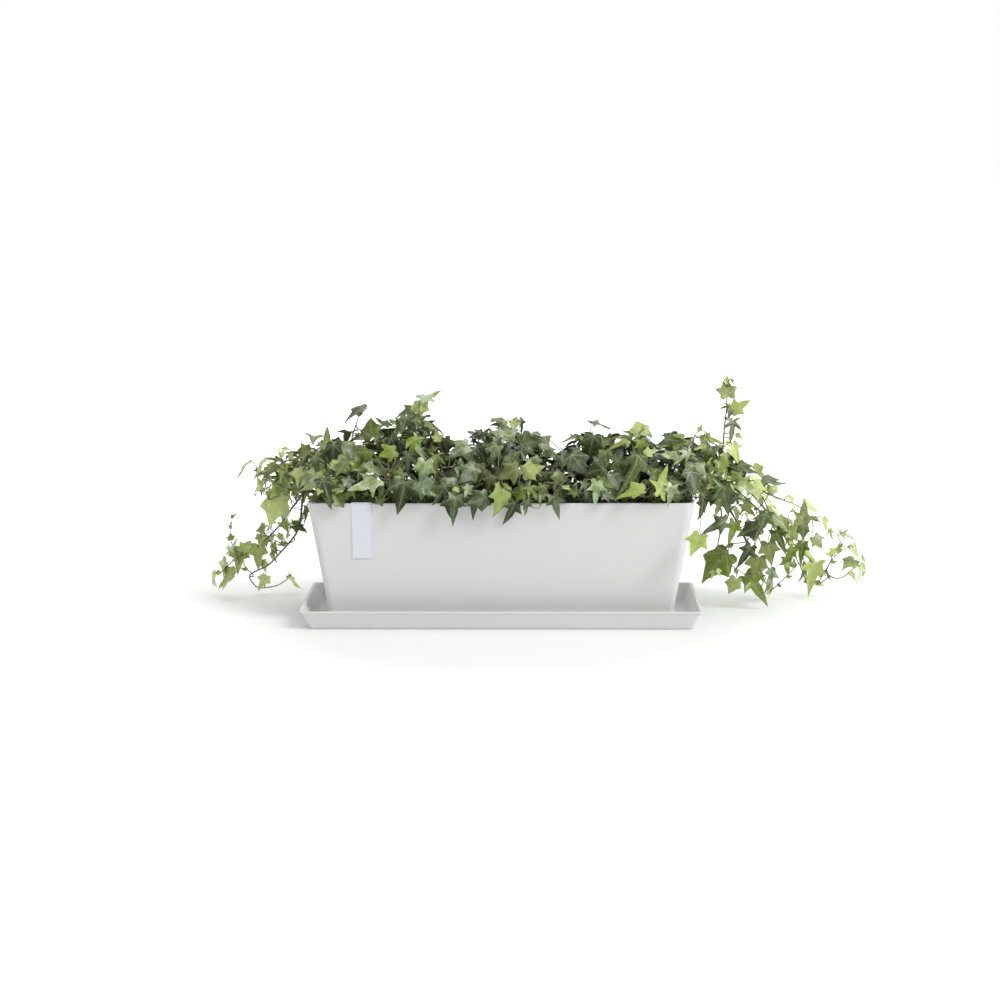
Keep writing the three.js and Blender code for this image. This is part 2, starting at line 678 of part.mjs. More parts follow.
// The planter: the saucer on the table, the pot on the saucer's ribs, the planting in the pot.

function piece(name, solid, material) {
  const mesh = new THREE.Mesh(toGeometry(solid), material);
  mesh.name = name;
  return mesh;
}

const tagMesh = piece("label_tag", tagSolid(), film);
tagMesh.position.copy(tagPlace);

const soilBody = soilSolid(vines);
const tagFromSoil = movedBy(tagPlace, [UP, -soilLevel]);
const tagInPlanting = toSolid(tagMesh.geometry.clone().translate(...tagFromSoil.toArray()));

const planting = new THREE.Group();
planting.position.z = soilLevel;
planting.add(piece("potting_soil", soilBody, earth));
for (const { name, solid } of growIvy([soilBody, tagInPlanting])) planting.add(piece(name, solid, green));

const potGroup = new THREE.Group();
potGroup.position.z = seat;
potGroup.add(piece("pot_shell", potSolid(), plastic), tagMesh, planting);

const planter = new THREE.Group();
planter.add(piece("saucer", saucerSolid(), plastic), potGroup);

export default planter;
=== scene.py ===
import json
import math
import random

import bmesh
import bpy
from mathutils import Matrix, Vector, noise
from mathutils.bvhtree import BVHTree
from mathutils.geometry import delaunay_2d_cdt

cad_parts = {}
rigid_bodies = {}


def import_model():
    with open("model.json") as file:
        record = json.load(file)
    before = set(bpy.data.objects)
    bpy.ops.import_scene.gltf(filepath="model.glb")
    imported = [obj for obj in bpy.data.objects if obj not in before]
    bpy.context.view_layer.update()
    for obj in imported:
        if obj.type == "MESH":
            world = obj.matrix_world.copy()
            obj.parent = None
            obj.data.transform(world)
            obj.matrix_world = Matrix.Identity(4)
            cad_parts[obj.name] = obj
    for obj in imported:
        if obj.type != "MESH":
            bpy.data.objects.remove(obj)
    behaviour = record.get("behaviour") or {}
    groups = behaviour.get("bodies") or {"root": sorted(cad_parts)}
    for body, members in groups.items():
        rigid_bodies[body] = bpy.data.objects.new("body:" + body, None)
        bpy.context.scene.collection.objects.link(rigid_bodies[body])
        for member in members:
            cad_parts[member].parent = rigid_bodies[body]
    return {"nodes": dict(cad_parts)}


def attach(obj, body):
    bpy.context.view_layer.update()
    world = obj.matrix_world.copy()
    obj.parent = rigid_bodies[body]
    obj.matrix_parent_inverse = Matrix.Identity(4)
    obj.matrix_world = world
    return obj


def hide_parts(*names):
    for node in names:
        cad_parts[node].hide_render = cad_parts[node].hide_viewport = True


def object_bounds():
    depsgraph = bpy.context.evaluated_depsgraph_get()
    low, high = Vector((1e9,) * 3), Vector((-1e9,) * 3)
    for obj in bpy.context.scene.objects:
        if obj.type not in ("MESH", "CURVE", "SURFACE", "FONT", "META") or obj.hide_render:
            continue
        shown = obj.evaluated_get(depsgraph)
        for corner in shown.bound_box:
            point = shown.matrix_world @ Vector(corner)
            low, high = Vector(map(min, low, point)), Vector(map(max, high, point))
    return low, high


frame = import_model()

cad_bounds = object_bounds()
MM = 0.001

# Sizes

POT = dict(length=550, depth=170, height=178, end_draft=29, side_draft=24, wall=4, floor=4,
           rim_corner=14, foot_corner=7.5, foot_round=2.5, inside_round=7)
SAUCER = dict(length=576, depth=196, height=28, lean=13.5, wall=2.2, floor=2.5, lip=2.6, lip_thickness=2.2,
              lip_round=0.9, lip_corner=5, rim_corner=7, foot_corner=6, foot_round=1.4, inside_round=3)
RIB = dict(height=2.2, width=3, count=4, inset=13, sunk=0.6, edge=0.5)
DRAIN = dict(diameter=12, count=6, bore=30)
TAG = dict(centre=-197, width=28.5, outside=81, inside=9, thickness=0.7, held=40, curl=0.6)
SOIL = dict(below=12, crown=4, shoulder=16)
GAP = 0.3
SEAT = SAUCER["floor"] + RIB["height"] + GAP  # height of the pot's foot above the table
RIM = SEAT + POT["height"]
SOIL_TOP = RIM - SOIL["below"]


def mix(a, b, t):
    return a + (b - a) * t


def clamped(share):
    return max(0.0, min(1.0, share))


def add_object(name, data):
    """Puts an object that shows this data into the scene."""
    obj = bpy.data.objects.new(name, data)
    bpy.context.scene.collection.objects.link(obj)
    return obj


# Camera, at the photograph's viewing angle

def aim_camera():
    """Stands the camera 2.7 m in front, looking a little down and a little to the left."""
    data = bpy.data.cameras.new("camera")
    data.sensor_width = 36
    data.lens = 67.705
    pitch, yaw, roll = math.radians(10.112), math.radians(-0.92), math.radians(-0.166)
    right = Vector((math.cos(yaw), -math.sin(yaw), 0))
    ahead = Vector((math.sin(yaw) * math.cos(pitch), math.cos(yaw) * math.cos(pitch), -math.sin(pitch)))
    up = right.cross(ahead)
    rolled = right * math.cos(roll) + up * math.sin(roll)
    turn = Matrix((rolled, rolled.cross(ahead), -ahead)).transposed()
    camera = add_object("camera", data)
    camera.matrix_world = Matrix.Translation((0.0413, -2.6999, 0.6541)) @ turn.to_4x4()
    bpy.context.scene.camera = camera
    return camera


CAMERA = aim_camera()


def on_picture(point):
    """Where a point, in metres, lies across and down the picture, in thousandths of its width."""
    x, y, z = CAMERA.matrix_world.inverted() @ Vector(point)
    scale = CAMERA.data.lens / CAMERA.data.sensor_width * 1000
    return 500 - scale * x / z, 500 + scale * y / z


# Node trees

def wire(tree, node, inputs):
    """Inputs go by name or number, and are values or the sockets that feed them."""
    for key, value in inputs.items():
        if isinstance(value, bpy.types.NodeSocket):
            tree.links.new(value, node.inputs[key])
        else:
            node.inputs[key].default_value = value


def put(tree, kind, settings=None, inputs=None):
    """Adds a node."""
    node = tree.nodes.new(kind)
    for key, value in (settings or {}).items():
        setattr(node, key, value)
    wire(tree, node, inputs or {})
    return node


def titled(inputs):
    """Inputs under their sockets' own names: base_color is Base Color."""
    return {key.replace("_", " ").title().replace("Ior", "IOR"): value for key, value in inputs.items()}


def made(tree, kind, **inputs):
    """A new node's first result."""
    return put(tree, kind, None, titled(inputs)).outputs[0]


def sum_up(tree, how, *values, clamp=False):
    """A math node's result."""
    settings = {"operation": how, "use_clamp": clamp}
    return put(tree, "ShaderNodeMath", settings, dict(enumerate(values))).outputs[0]


def plus(tree, a, b):
    return sum_up(tree, "ADD", a, b)


def minus(tree, a, b, clamp=False):
    return sum_up(tree, "SUBTRACT", a, b, clamp=clamp)


def times(tree, a, b):
    return sum_up(tree, "MULTIPLY", a, b)


def split_up(tree, vector):
    """A vector's X, Y and Z."""
    return put(tree, "ShaderNodeSeparateXYZ", None, {0: vector}).outputs


def clouds(tree, place, scale, detail, **more):
    """Soft noise, from 0 to 1."""
    return made(tree, "ShaderNodeTexNoise", vector=place, scale=scale, detail=detail, **more)


def relief(tree, height, strength, distance):
    """A normal that follows a height."""
    return made(tree, "ShaderNodeBump", height=height, strength=strength, distance=distance)


def tinted(tree, color, value):
    """A colour made lighter or darker."""
    return made(tree, "ShaderNodeHueSaturation", color=color, value=value)


def blend(tree, amount, low, high):
    """A colour between two."""
    return put(tree, "ShaderNodeMix", {"data_type": "RGBA"}, {0: amount, 6: low, 7: high}).outputs[2]


def spread(tree, value, low, high, to_low=0.0, to_high=1.0):
    """A value stretched from one range to another, and kept inside it."""
    inputs = dict(enumerate((value, low, high, to_low, to_high)))
    return put(tree, "ShaderNodeMapRange", {"clamp": True}, inputs).outputs[0]


def node_group(kind, name, inputs, outputs):
    """A node group, and the sockets that give its inputs and take its outputs."""
    tree = bpy.data.node_groups.new(name, kind)
    for label, sort, default in inputs:
        socket = tree.interface.new_socket(label, in_out="INPUT", socket_type="NodeSocket" + sort)
        if default is not None:
            socket.default_value = default
    for label, sort in outputs:
        tree.interface.new_socket(label, in_out="OUTPUT", socket_type="NodeSocket" + sort)
    return tree, put(tree, "NodeGroupInput").outputs, put(tree, "NodeGroupOutput").inputs


def use(tree, group, **inputs):
    """Places a group in a material and gives its outputs."""
    return put(tree, "ShaderNodeGroup", {"node_tree": group}, titled(inputs)).outputs


def srgb(red, green, blue):
    """A colour as it looks, from 0 to 255, in linear light."""
    def linear(v):
        v /= 255
        return v / 12.92 if v <= 0.04045 else ((v + 0.055) / 1.055) ** 2.4
    return (linear(red), linear(green), linear(blue), 1.0)


def new_material(name, preview):
    """An empty material, its tree, its Principled shader and the place on the object."""
    material = bpy.data.materials.new(name)
    material.use_nodes = True
    material.diffuse_color = preview
    tree = material.node_tree
    tree.nodes.clear()
    shader = put(tree, "ShaderNodeBsdfPrincipled")
    put(tree, "ShaderNodeOutputMaterial", None, {"Surface": shader.outputs[0]})
    return material, tree, shader, put(tree, "ShaderNodeTexCoord").outputs["Object"]


def feed(tree, shader, **inputs):
    wire(tree, shader, titled(inputs))


# Effects that several materials share

def make_grain():
    """Moulded or crumbly relief: two sizes of noise on the object's own place, as one height and a normal."""
    tree, given, out = node_group(
        "ShaderNodeTree", "grain",
        [("Place", "Vector", None), ("Scale", "Float", 400.0), ("Coarse Share", "Float", 0.2),
         ("Strength", "Float", 0.2), ("Distance", "Float", 0.0004)],
        [("Height", "Float"), ("Normal", "Vector")],
    )
    fine = clouds(tree, given["Place"], given["Scale"], 4.0)
    coarse = clouds(tree, given["Place"], times(tree, given["Scale"], 0.125), 2.0)
    height = put(tree, "ShaderNodeMix", {"data_type": "FLOAT"},
                 {0: given["Coarse Share"], 2: fine, 3: coarse}).outputs[0]
    normal = relief(tree, height, given["Strength"], given["Distance"])
    tree.links.new(height, out["Height"])
    tree.links.new(normal, out["Normal"])
    return tree


def make_mottle():
    """Soft patches that shift a colour lighter and darker."""
    tree, given, out = node_group(
        "ShaderNodeTree", "mottle",
        [("Place", "Vector", None), ("Color", "Color", (0.8, 0.8, 0.8, 1)), ("Scale", "Float", 20.0),
         ("Amount", "Float", 0.1)],
        [("Color", "Color"), ("Patches", "Float")],
    )
    patches = clouds(tree, given["Place"], given["Scale"], 5.0, roughness=0.6)
    offset = times(tree, minus(tree, patches, 0.5), given["Amount"])
    shifted = tinted(tree, given["Color"], plus(tree, times(tree, offset, 2.0), 1.0))
    tree.links.new(shifted, out["Color"])
    tree.links.new(patches, out["Patches"])
    return tree


def make_veins():
    """The pale veins of a lobed leaf. "Blade" is the place along and across the leaf, in leaf lengths. The
    main veins run from the stalk to the tips of the five lobes, and each has side veins of its own."""
    tree, given, out = node_group(
        "ShaderNodeTree", "veins",
        [("Blade", "Vector", None), ("Width", "Float", 0.016)],
        [("Main", "Float"), ("Side", "Float"), ("Beside", "Float")],
    )
    split = split_up(tree, given["Blade"])
    along, across = split[0], sum_up(tree, "ABSOLUTE", split[1])
    found = []
    for tip_along, tip_across in VEIN_TIPS:
        reach = math.hypot(tip_along, tip_across)
        way_along, way_across = tip_along / reach, tip_across / reach
        off = minus(tree, times(tree, along, way_across), times(tree, across, way_along))
        off = sum_up(tree, "ABSOLUTE", off)
        run = plus(tree, times(tree, along, way_along), times(tree, across, way_across))
        behind = sum_up(tree, "LESS_THAN", run, 0.0)
        found.append((plus(tree, off, behind), run, reach))
    nearest = sum_up(tree, "MINIMUM", sum_up(tree, "MINIMUM", found[0][0], found[1][0]), found[2][0])
    main = side = None
    for off, run, reach in found:
        width = times(tree, given["Width"], spread(tree, run, 0.0, reach, 1.3, 0.3))
        line = minus(tree, 1.0, sum_up(tree, "DIVIDE", off, width), clamp=True)
        ladder = times(tree, minus(tree, run, times(tree, off, SIDE_VEIN_LEAN)), SIDE_VEINS)
        rungs = spread(tree, sum_up(tree, "PINGPONG", ladder, 0.5), 0.0, 0.1, 1.0, 0.0)
        own = sum_up(tree, "GREATER_THAN", plus(tree, nearest, 0.0001), off)
        rungs = times(tree, rungs, own)
        main = line if main is None else sum_up(tree, "MAXIMUM", main, line)
        side = rungs if side is None else sum_up(tree, "MAXIMUM", side, rungs)
    tree.links.new(main, out["Main"])
    tree.links.new(side, out["Side"])
    tree.links.new(spread(tree, nearest, 0.0, 0.13, 1.0, 0.0), out["Beside"])
    return tree


VEIN_TIPS = ((1.0, 0.0), (0.42, 0.6), (-0.06, 0.44))
SIDE_VEINS, SIDE_VEIN_LEAN = 9.0, 0.9  # side veins in a leaf length, and how far they lean forwards
GRAIN = make_grain()
MOTTLE = make_mottle()
VEINS = make_veins()


# Materials

def make_plastic():
    """Matte white moulded plastic, with the faint grain of its mould and very soft unevenness."""
    material, tree, shader, place = new_material("white_plastic", srgb(232, 232, 231))
    color = use(tree, MOTTLE, place=place, color=srgb(228, 228, 228), scale=9.0, amount=0.012)["Color"]
    grain = use(tree, GRAIN, place=place, scale=1500.0, coarse_share=0.35, strength=0.25, distance=0.0003)
    rough = spread(tree, grain["Height"], 0.3, 0.7, 0.5, 0.62)
    feed(tree, shader, base_color=color, roughness=rough, normal=grain["Normal"], ior=1.49)
    return material


def make_film():
    """The tag's smooth strap, a little bluer and glossier than the pot."""
    material, tree, shader, place = new_material("tag_film", srgb(236, 240, 247))
    color = use(tree, MOTTLE, place=place, color=srgb(230, 234, 241), scale=60.0, amount=0.01)["Color"]
    grain = use(tree, GRAIN, place=place, scale=2600.0, coarse_share=0.1, strength=0.12, distance=0.0002)
    feed(tree, shader, base_color=color, roughness=0.42, normal=grain["Normal"])
    return material


def make_earth():
    """Damp, dark potting soil."""
    material, tree, shader, place = new_material("potting_soil", srgb(52, 42, 34))
    lumps = put(tree, "ShaderNodeTexVoronoi", None, {"Vector": place, "Scale": 260.0}).outputs["Distance"]
    tint = clouds(tree, place, 90.0, 6.0)
    color = blend(tree, spread(tree, tint, 0.35, 0.65), srgb(36, 28, 22), srgb(74, 58, 44))
    color = blend(tree, spread(tree, lumps, 0.0, 0.8, 0.0, 0.5), color, srgb(24, 19, 15))
    grain = use(tree, GRAIN, place=place, scale=700.0, coarse_share=0.5, strength=0.9, distance=0.0012)
    feed(tree, shader, base_color=color, roughness=0.95, normal=grain["Normal"])
    return material


def attribute(tree, name, output):
    return put(tree, "ShaderNodeAttribute", {"attribute_name": name}).outputs[output]


def make_leaf():
    """Ivy leaf: dark and glossy when old, light yellow-green when young, with pale veins. Each leaf carries
    its own tone (0 old, 1 young), silver (how frosted it is, the frost partly painted sheen) and shade (its
    own small difference, with painted shade deep in the planting and behind gaps)."""
    material, tree, shader, place = new_material("ivy_leaf", srgb(86, 104, 56))
    blade = attribute(tree, "blade", "Vector")
    tone, silver, shade = (attribute(tree, name, "Fac") for name in ("tone", "silver", "shade"))
    under = split_up(tree, blade)[2]

    green = blend(tree, spread(tree, tone, 0.0, 0.5), OLD_GREEN, MIDDLE_GREEN)
    green = blend(tree, spread(tree, tone, 0.5, 1.0), green, YOUNG_GREEN)
    # Silvery frost in soft patches: partly the leaves' own silvery colour, partly painted sheen that stands
    # in for glossy highlights
    frost_and_sheen_patches = clouds(tree, place, 75.0, 3.0)
    frosted = times(tree, silver, spread(tree, frost_and_sheen_patches, 0.42, 0.62, 0.08, 0.7))
    green = blend(tree, frosted, green, FROST_AND_PAINTED_SHEEN)
    mottled = use(tree, MOTTLE, place=place, color=green, scale=110.0, amount=0.4)
    # Each leaf's shade darkens it: a small difference of its own, and painted shade on leaves near the
    # planting's heart and behind gaps
    own = spread(tree, shade, 0.0, 1.0, 0.28, 1.7)
    green = tinted(tree, mottled["Color"], own)

    veins = use(tree, VEINS, blade=blade, width=0.018)
    pale = blend(tree, tone, srgb(188, 202, 160), srgb(228, 236, 196))
    green = blend(tree, times(tree, veins["Beside"], 0.12), green, pale)
    strong = spread(tree, silver, 0.0, 1.0, 0.3, 0.75)
    fine = spread(tree, silver, 0.0, 1.0, 0.08, 0.34)
    lines = sum_up(tree, "MAXIMUM", times(tree, veins["Main"], strong), times(tree, veins["Side"], fine))
    color = blend(tree, lines, green, pale)
    back = blend(tree, 0.5, color, UNDERSIDE)
    color = blend(tree, times(tree, under, 0.8), color, back)

    pores = clouds(tree, place, 900.0, 3.0)
    ridges = plus(tree, veins["Main"], times(tree, veins["Side"], 0.4))
    bump = relief(tree, minus(tree, times(tree, pores, 0.3), ridges), 0.45, 0.0008)
    rough = plus(tree, spread(tree, mottled["Patches"], 0.3, 0.7, 0.16, 0.32), times(tree, under, 0.25))
    sheen = blend(tree, silver, GREEN_SHEEN, (1, 1, 1, 1))
    feed(tree, shader, base_color=color, roughness=rough, normal=bump, ior=1.5, specular_ior_level=0.62,
         specular_tint=sheen)
    return material


OLD_GREEN, MIDDLE_GREEN, YOUNG_GREEN = srgb(33, 46, 10), srgb(108, 125, 26), srgb(190, 202, 128)
# the frost colour is the silvery colour of frosted leaves and also painted sheen
FROST_AND_PAINTED_SHEEN, UNDERSIDE = srgb(184, 200, 178), srgb(164, 178, 116)
GREEN_SHEEN = (0.75, 0.95, 0.5, 1)


def make_bark():
    """Stems are brown and a little purple where they are woody, and fresh green or reddish in the stalks."""
    material, tree, shader, place = new_material("ivy_stem", srgb(92, 70, 58))
    fresh = attribute(tree, "fresh", "Fac")
    shade = attribute(tree, "shade", "Fac")
    stalk = blend(tree, spread(tree, shade, 0.75, 1.0), srgb(128, 138, 84), srgb(140, 106, 80))
    color = blend(tree, fresh, srgb(80, 62, 52), stalk)
    mottled = use(tree, MOTTLE, place=place, color=color, scale=180.0, amount=0.3)["Color"]
    grain = use(tree, GRAIN, place=place, scale=1200.0, coarse_share=0.4, strength=0.4, distance=0.0004)
    feed(tree, shader, base_color=mottled, roughness=0.6, normal=grain["Normal"])
    return material


PLASTIC = make_plastic()
FILM = make_film()
EARTH = make_earth()
LEAF = make_leaf()
BARK = make_bark()


# Meshes

def shade_smooth(mesh):
    mesh.polygons.foreach_set("use_smooth", [True] * len(mesh.polygons))


def new_object(name, vertices, faces, material):
    """A mesh object at the origin, from places in millimetres."""
    mesh = bpy.data.meshes.new(name)
    mesh.from_pydata([Vector(v) * MM for v in vertices], [], faces)
    mesh.materials.append(material)
    shade_smooth(mesh)
    mesh.update()
    return add_object(name, mesh)


def as_mesh(work, name):
    mesh = bpy.data.meshes.new(name)
    work.to_mesh(mesh)
    work.free()
    return mesh


def combine(obj, name, mesh, operation):
    """Cuts the mesh from the object or joins it on, and gives the mesh's own object."""
    other = add_object(name, mesh)
    step = obj.modifiers.new(name, "BOOLEAN")
    step.object, step.operation, step.solver = other, operation, "EXACT"
    return other


def settle(obj, name):
    """The object as a plain mesh, with its modifiers worked into it."""
    graph = bpy.context.evaluated_depsgraph_get()
    mesh = bpy.data.meshes.new_from_object(
        obj.evaluated_get(graph), preserve_all_data_layers=True, depsgraph=graph)
    bpy.data.objects.remove(obj)
    mesh.name = name
    return add_object(name, mesh)


CORNER_STEPS = 12
HOLD = 2.5  # a point this far from a rounded corner or rim holds the flat wall flat beside it
LID_IN = 4  # a flat lid starts this far inside the round that it closes


def loop(half_length, half_depth, corner, z):
    """A rounded rectangle at height z, anticlockwise from above."""
    corner = max(corner, 0.5)
    points = []
    for quarter, (sx, sy) in enumerate(((1, 1), (-1, 1), (-1, -1), (1, -1))):
        middle = Vector((sx * (half_length - corner), sy * (half_depth - corner), z))
        ways = [math.radians(90 * quarter + 90 * k / CORNER_STEPS) for k in range(CORNER_STEPS + 1)]
        arc = [middle + corner * Vector((math.cos(a), math.sin(a), 0)) for a in ways]
        before = HOLD * Vector((math.sin(ways[0]), -math.cos(ways[0]), 0))
        after = HOLD * Vector((-math.sin(ways[-1]), math.cos(ways[-1]), 0))
        points += [arc[0] + before, *arc, arc[-1] + after]
    return points


def sweep(first, last, steps):
    """Angles from one to another, given in degrees."""
    return [math.radians(mix(first, last, k / steps)) for k in range(steps + 1)]


def loft(name, loops, material):
    """A closed skin through loops of the same count, with a lid on the first and the last."""
    count = len(loops[0])
    faces = [
        (i * count + k, i * count + (k + 1) % count, (i + 1) * count + (k + 1) % count, (i + 1) * count + k)
        for i in range(len(loops) - 1) for k in range(count)
    ]
    faces.append(tuple(reversed(range(count))))
    faces.append(tuple(range((len(loops) - 1) * count, len(loops) * count)))
    return new_object(name, [p for ring in loops for p in ring], faces, material)


def along_foot(count):
    foot = POT["length"] - 2 * POT["end_draft"]
    return [((k + 0.5) / count - 0.5) * foot for k in range(count)]


# The pot: drafted walls that meet in cone-shaped corners, a rounded rim and a rounded foot

def pot_loop(z, inset):
    t = z / (POT["height"] - POT["wall"] / 2)
    return loop(
        mix(POT["length"] / 2 - POT["end_draft"], POT["length"] / 2, t) - inset,
        mix(POT["depth"] / 2 - POT["side_draft"], POT["depth"] / 2, t) - inset,
        mix(POT["foot_corner"], POT["rim_corner"], t) - inset,
        SEAT + z,
    )


def inside_foot(margin):
    r = POT["inside_round"]
    return [
        pot_loop(POT["floor"] + margin + r * (1 - math.sin(a)), POT["wall"] + margin + r * (1 - math.cos(a)))
        for a in sweep(90, 0, 5)
    ]


def make_pot():
    edge, foot = POT["wall"] / 2, POT["foot_round"]
    top = POT["height"]
    loops = [pot_loop(0, foot + LID_IN)]
    loops += [pot_loop(foot * (1 - math.cos(a)), foot * (1 - math.sin(a))) for a in sweep(0, 90, 4)]
    loops += [pot_loop(foot + 3, 0), pot_loop(top / 2, 0), pot_loop(top - edge - HOLD, 0)]
    loops += [
        pot_loop(top - edge + edge * math.sin(a), edge * (1 - math.cos(a)))
        for a in sweep(0, 180, 10)
    ]
    loops += [pot_loop(top - edge - HOLD, POT["wall"]), pot_loop(top / 2, POT["wall"])]
    loops += list(reversed(inside_foot(0)))
    loops.append(pot_loop(POT["floor"], POT["wall"] + POT["inside_round"] + LID_IN))
    pot = loft("pot_smooth", loops, PLASTIC)
    bores = []
    for x in along_foot(DRAIN["count"]):
        bore = bmesh.new()
        bmesh.ops.create_cone(bore, cap_ends=True, segments=40, radius1=DRAIN["diameter"] / 2 * MM,
                              radius2=DRAIN["diameter"] / 2 * MM, depth=DRAIN["bore"] * MM,
                              matrix=Matrix.Translation((x * MM, 0, SEAT * MM)))
        bores.append(combine(pot, "drain", as_mesh(bore, "bore"), "DIFFERENCE"))
    whole = settle(pot, "pot")
    for bore in bores:
        bpy.data.objects.remove(bore)
    return whole


# The saucer: leaning walls, a lip turned out with a rolled edge, and ribs across the floor

def saucer_loop(z, out, corner=None):
    t = z / (SAUCER["height"] - SAUCER["lip_round"])
    inset = mix(SAUCER["lean"], SAUCER["lip"], t)
    if corner is None:
        corner = mix(SAUCER["foot_corner"], SAUCER["rim_corner"], t) + out
    return loop(SAUCER["length"] / 2 - inset + out, SAUCER["depth"] / 2 - inset + out, corner, z)


def make_saucer():
    height, wall, floor = SAUCER["height"], SAUCER["wall"], SAUCER["floor"]
    lip, soft, corner = SAUCER["lip"], SAUCER["lip_round"], SAUCER["lip_corner"]
    foot, inner = SAUCER["foot_round"], SAUCER["inside_round"]
    under = height - SAUCER["lip_thickness"]
    middle = (under + height) / 2
    loops = [saucer_loop(0, -foot - 3)]
    loops += [saucer_loop(foot * (1 - math.cos(a)), foot * (math.sin(a) - 1)) for a in sweep(0, 90, 4)]
    loops += [saucer_loop(foot + 2, 0), saucer_loop(under - 1.5, 0), saucer_loop(under - 0.3, 0.1)]
    loops += [saucer_loop(under, 0.5, corner), saucer_loop(under, lip - soft - 0.6, corner)]
    loops += [
        saucer_loop(middle - (middle - under) * math.cos(a), lip - soft + soft * math.sin(a), corner)
        for a in sweep(0, 180, 8)
    ]
    loops += [saucer_loop(height, lip - soft - 1.2, corner), saucer_loop(height, 0.4 - wall + soft)]
    loops += [
        saucer_loop(height - soft * (1 - math.cos(a)), -wall + soft * (1 - math.sin(a)))
        for a in sweep(0, 90, 4)
    ]
    loops += [saucer_loop(height - soft - 2, -wall), saucer_loop(floor + inner + 2, -wall)]
    loops += [
        saucer_loop(floor + inner * (1 - math.sin(a)), -wall - inner * (1 - math.cos(a)))
        for a in sweep(0, 90, 5)
    ]
    loops.append(saucer_loop(floor, -wall - inner - 3))
    tray = loft("saucer_smooth", loops, PLASTIC)
    ribs = combine(tray, "ribs", as_mesh(make_ribs(floor), "ribs"), "UNION")
    whole = settle(tray, "saucer_moulded")
    bpy.data.objects.remove(ribs)
    return whole


def make_ribs(floor):
    """Round-ended bars that stand on the floor, their upper edges taken off."""
    bars = bmesh.new()
    r = RIB["width"] / 2
    half = (POT["depth"] - 2 * POT["side_draft"]) / 2 - RIB["inset"] - r
    top, edge = floor + RIB["height"], RIB["edge"]
    for x in along_foot(RIB["count"]):
        outline = [
            (x + r * math.cos(a), end + r * math.sin(a))
            for end, turn in ((half, 0), (-half, 180)) for a in sweep(turn, turn + 180, 8)
        ]
        rings = []
        for z, inset in ((floor - RIB["sunk"], 0), (top - edge, 0), (top, edge)):
            shrink = 1 - inset / r
            ring = [(x + (px - x) * shrink, py - math.copysign(inset, py) * 0.5, z) for px, py in outline]
            rings.append([bars.verts.new(Vector(p) * MM) for p in ring])
        for low, high in zip(rings, rings[1:]):
            for k in range(len(low)):
                n = (k + 1) % len(low)
                bars.faces.new((low[k], low[n], high[n], high[k]))
        bars.faces.new(list(reversed(rings[0])))
        bars.faces.new(rings[-1])
    return bars


# The tag: one bare strap over the rim, its lower end standing a little off the wall

def make_tag():
    edge = POT["wall"] / 2
    lean = POT["side_draft"] / (POT["height"] - edge)
    radius = edge + GAP
    rows = []
    for k in range(13):
        down = mix(TAG["outside"], edge + 1, k / 12)
        off = TAG["curl"] * max(0, (down - TAG["held"]) / TAG["held"]) ** 2  # the free end curls off the wall
        rows.append((-radius - off + (down - edge) * lean, -down, -1, 0))
    for a in sweep(180, 0, 12):
        rows.append((radius * math.cos(a), radius * math.sin(a) - edge, math.cos(a), math.sin(a)))
    for down in (edge + 1, TAG["inside"] - 2, TAG["inside"]):
        rows.append((radius + (down - edge) * lean, -down, 1, 0))
    across = [-0.5, -0.485, -0.3, -0.1, 0.1, 0.3, 0.485, 0.5]
    thick = TAG["thickness"]
    base_y, top = edge - POT["depth"] / 2, RIM
    inner, outer = [], []
    for y, z, ny, nz in rows:
        for w in across:
            x = TAG["centre"] + w * TAG["width"]
            inner.append((x, base_y + y, top + z))
            outer.append((x, base_y + y + ny * thick, top + z + nz * thick))
    n, m = len(across), len(rows)
    vertices = inner + outer
    shift = len(inner)
    faces = []
    for i in range(m - 1):
        for k in range(n - 1):
            a, b, c, d = i * n + k, i * n + k + 1, (i + 1) * n + k + 1, (i + 1) * n + k
            faces.append((a + shift, b + shift, c + shift, d + shift))
            faces.append((d, c, b, a))
        faces.append((i * n, i * n + shift, (i + 1) * n + shift, (i + 1) * n))
        right = i * n + n - 1
        faces.append((right + n, right + n + shift, right + shift, right))
    for k in range(n - 1):
        faces.append((k, k + 1, k + 1 + shift, k + shift))
        last = (m - 1) * n + k
        faces.append((last + shift, last + 1 + shift, last + 1, last))
    tag = new_object("tag_strap", vertices, faces, FILM)
    mark_sharp(tag.data, 60)
    return tag


def mark_sharp(mesh, degrees):
    """Edges that turn more than this stay crisp."""
    work = bmesh.new()
    work.from_mesh(mesh)
    bmesh.ops.recalc_face_normals(work, faces=work.faces)
    for e in work.edges:
        e.smooth = len(e.link_faces) == 2 and e.calc_face_angle(0) < math.radians(degrees)
    work.to_mesh(mesh)
    work.free()


# The soil: a crumbly block with a rough crown, and loose crumbs lying on it

LONGEST_EDGE = 0.006  # in metres, of the block's faces, so that they can be rough
LUMPS = 120  # how fine the roughness is


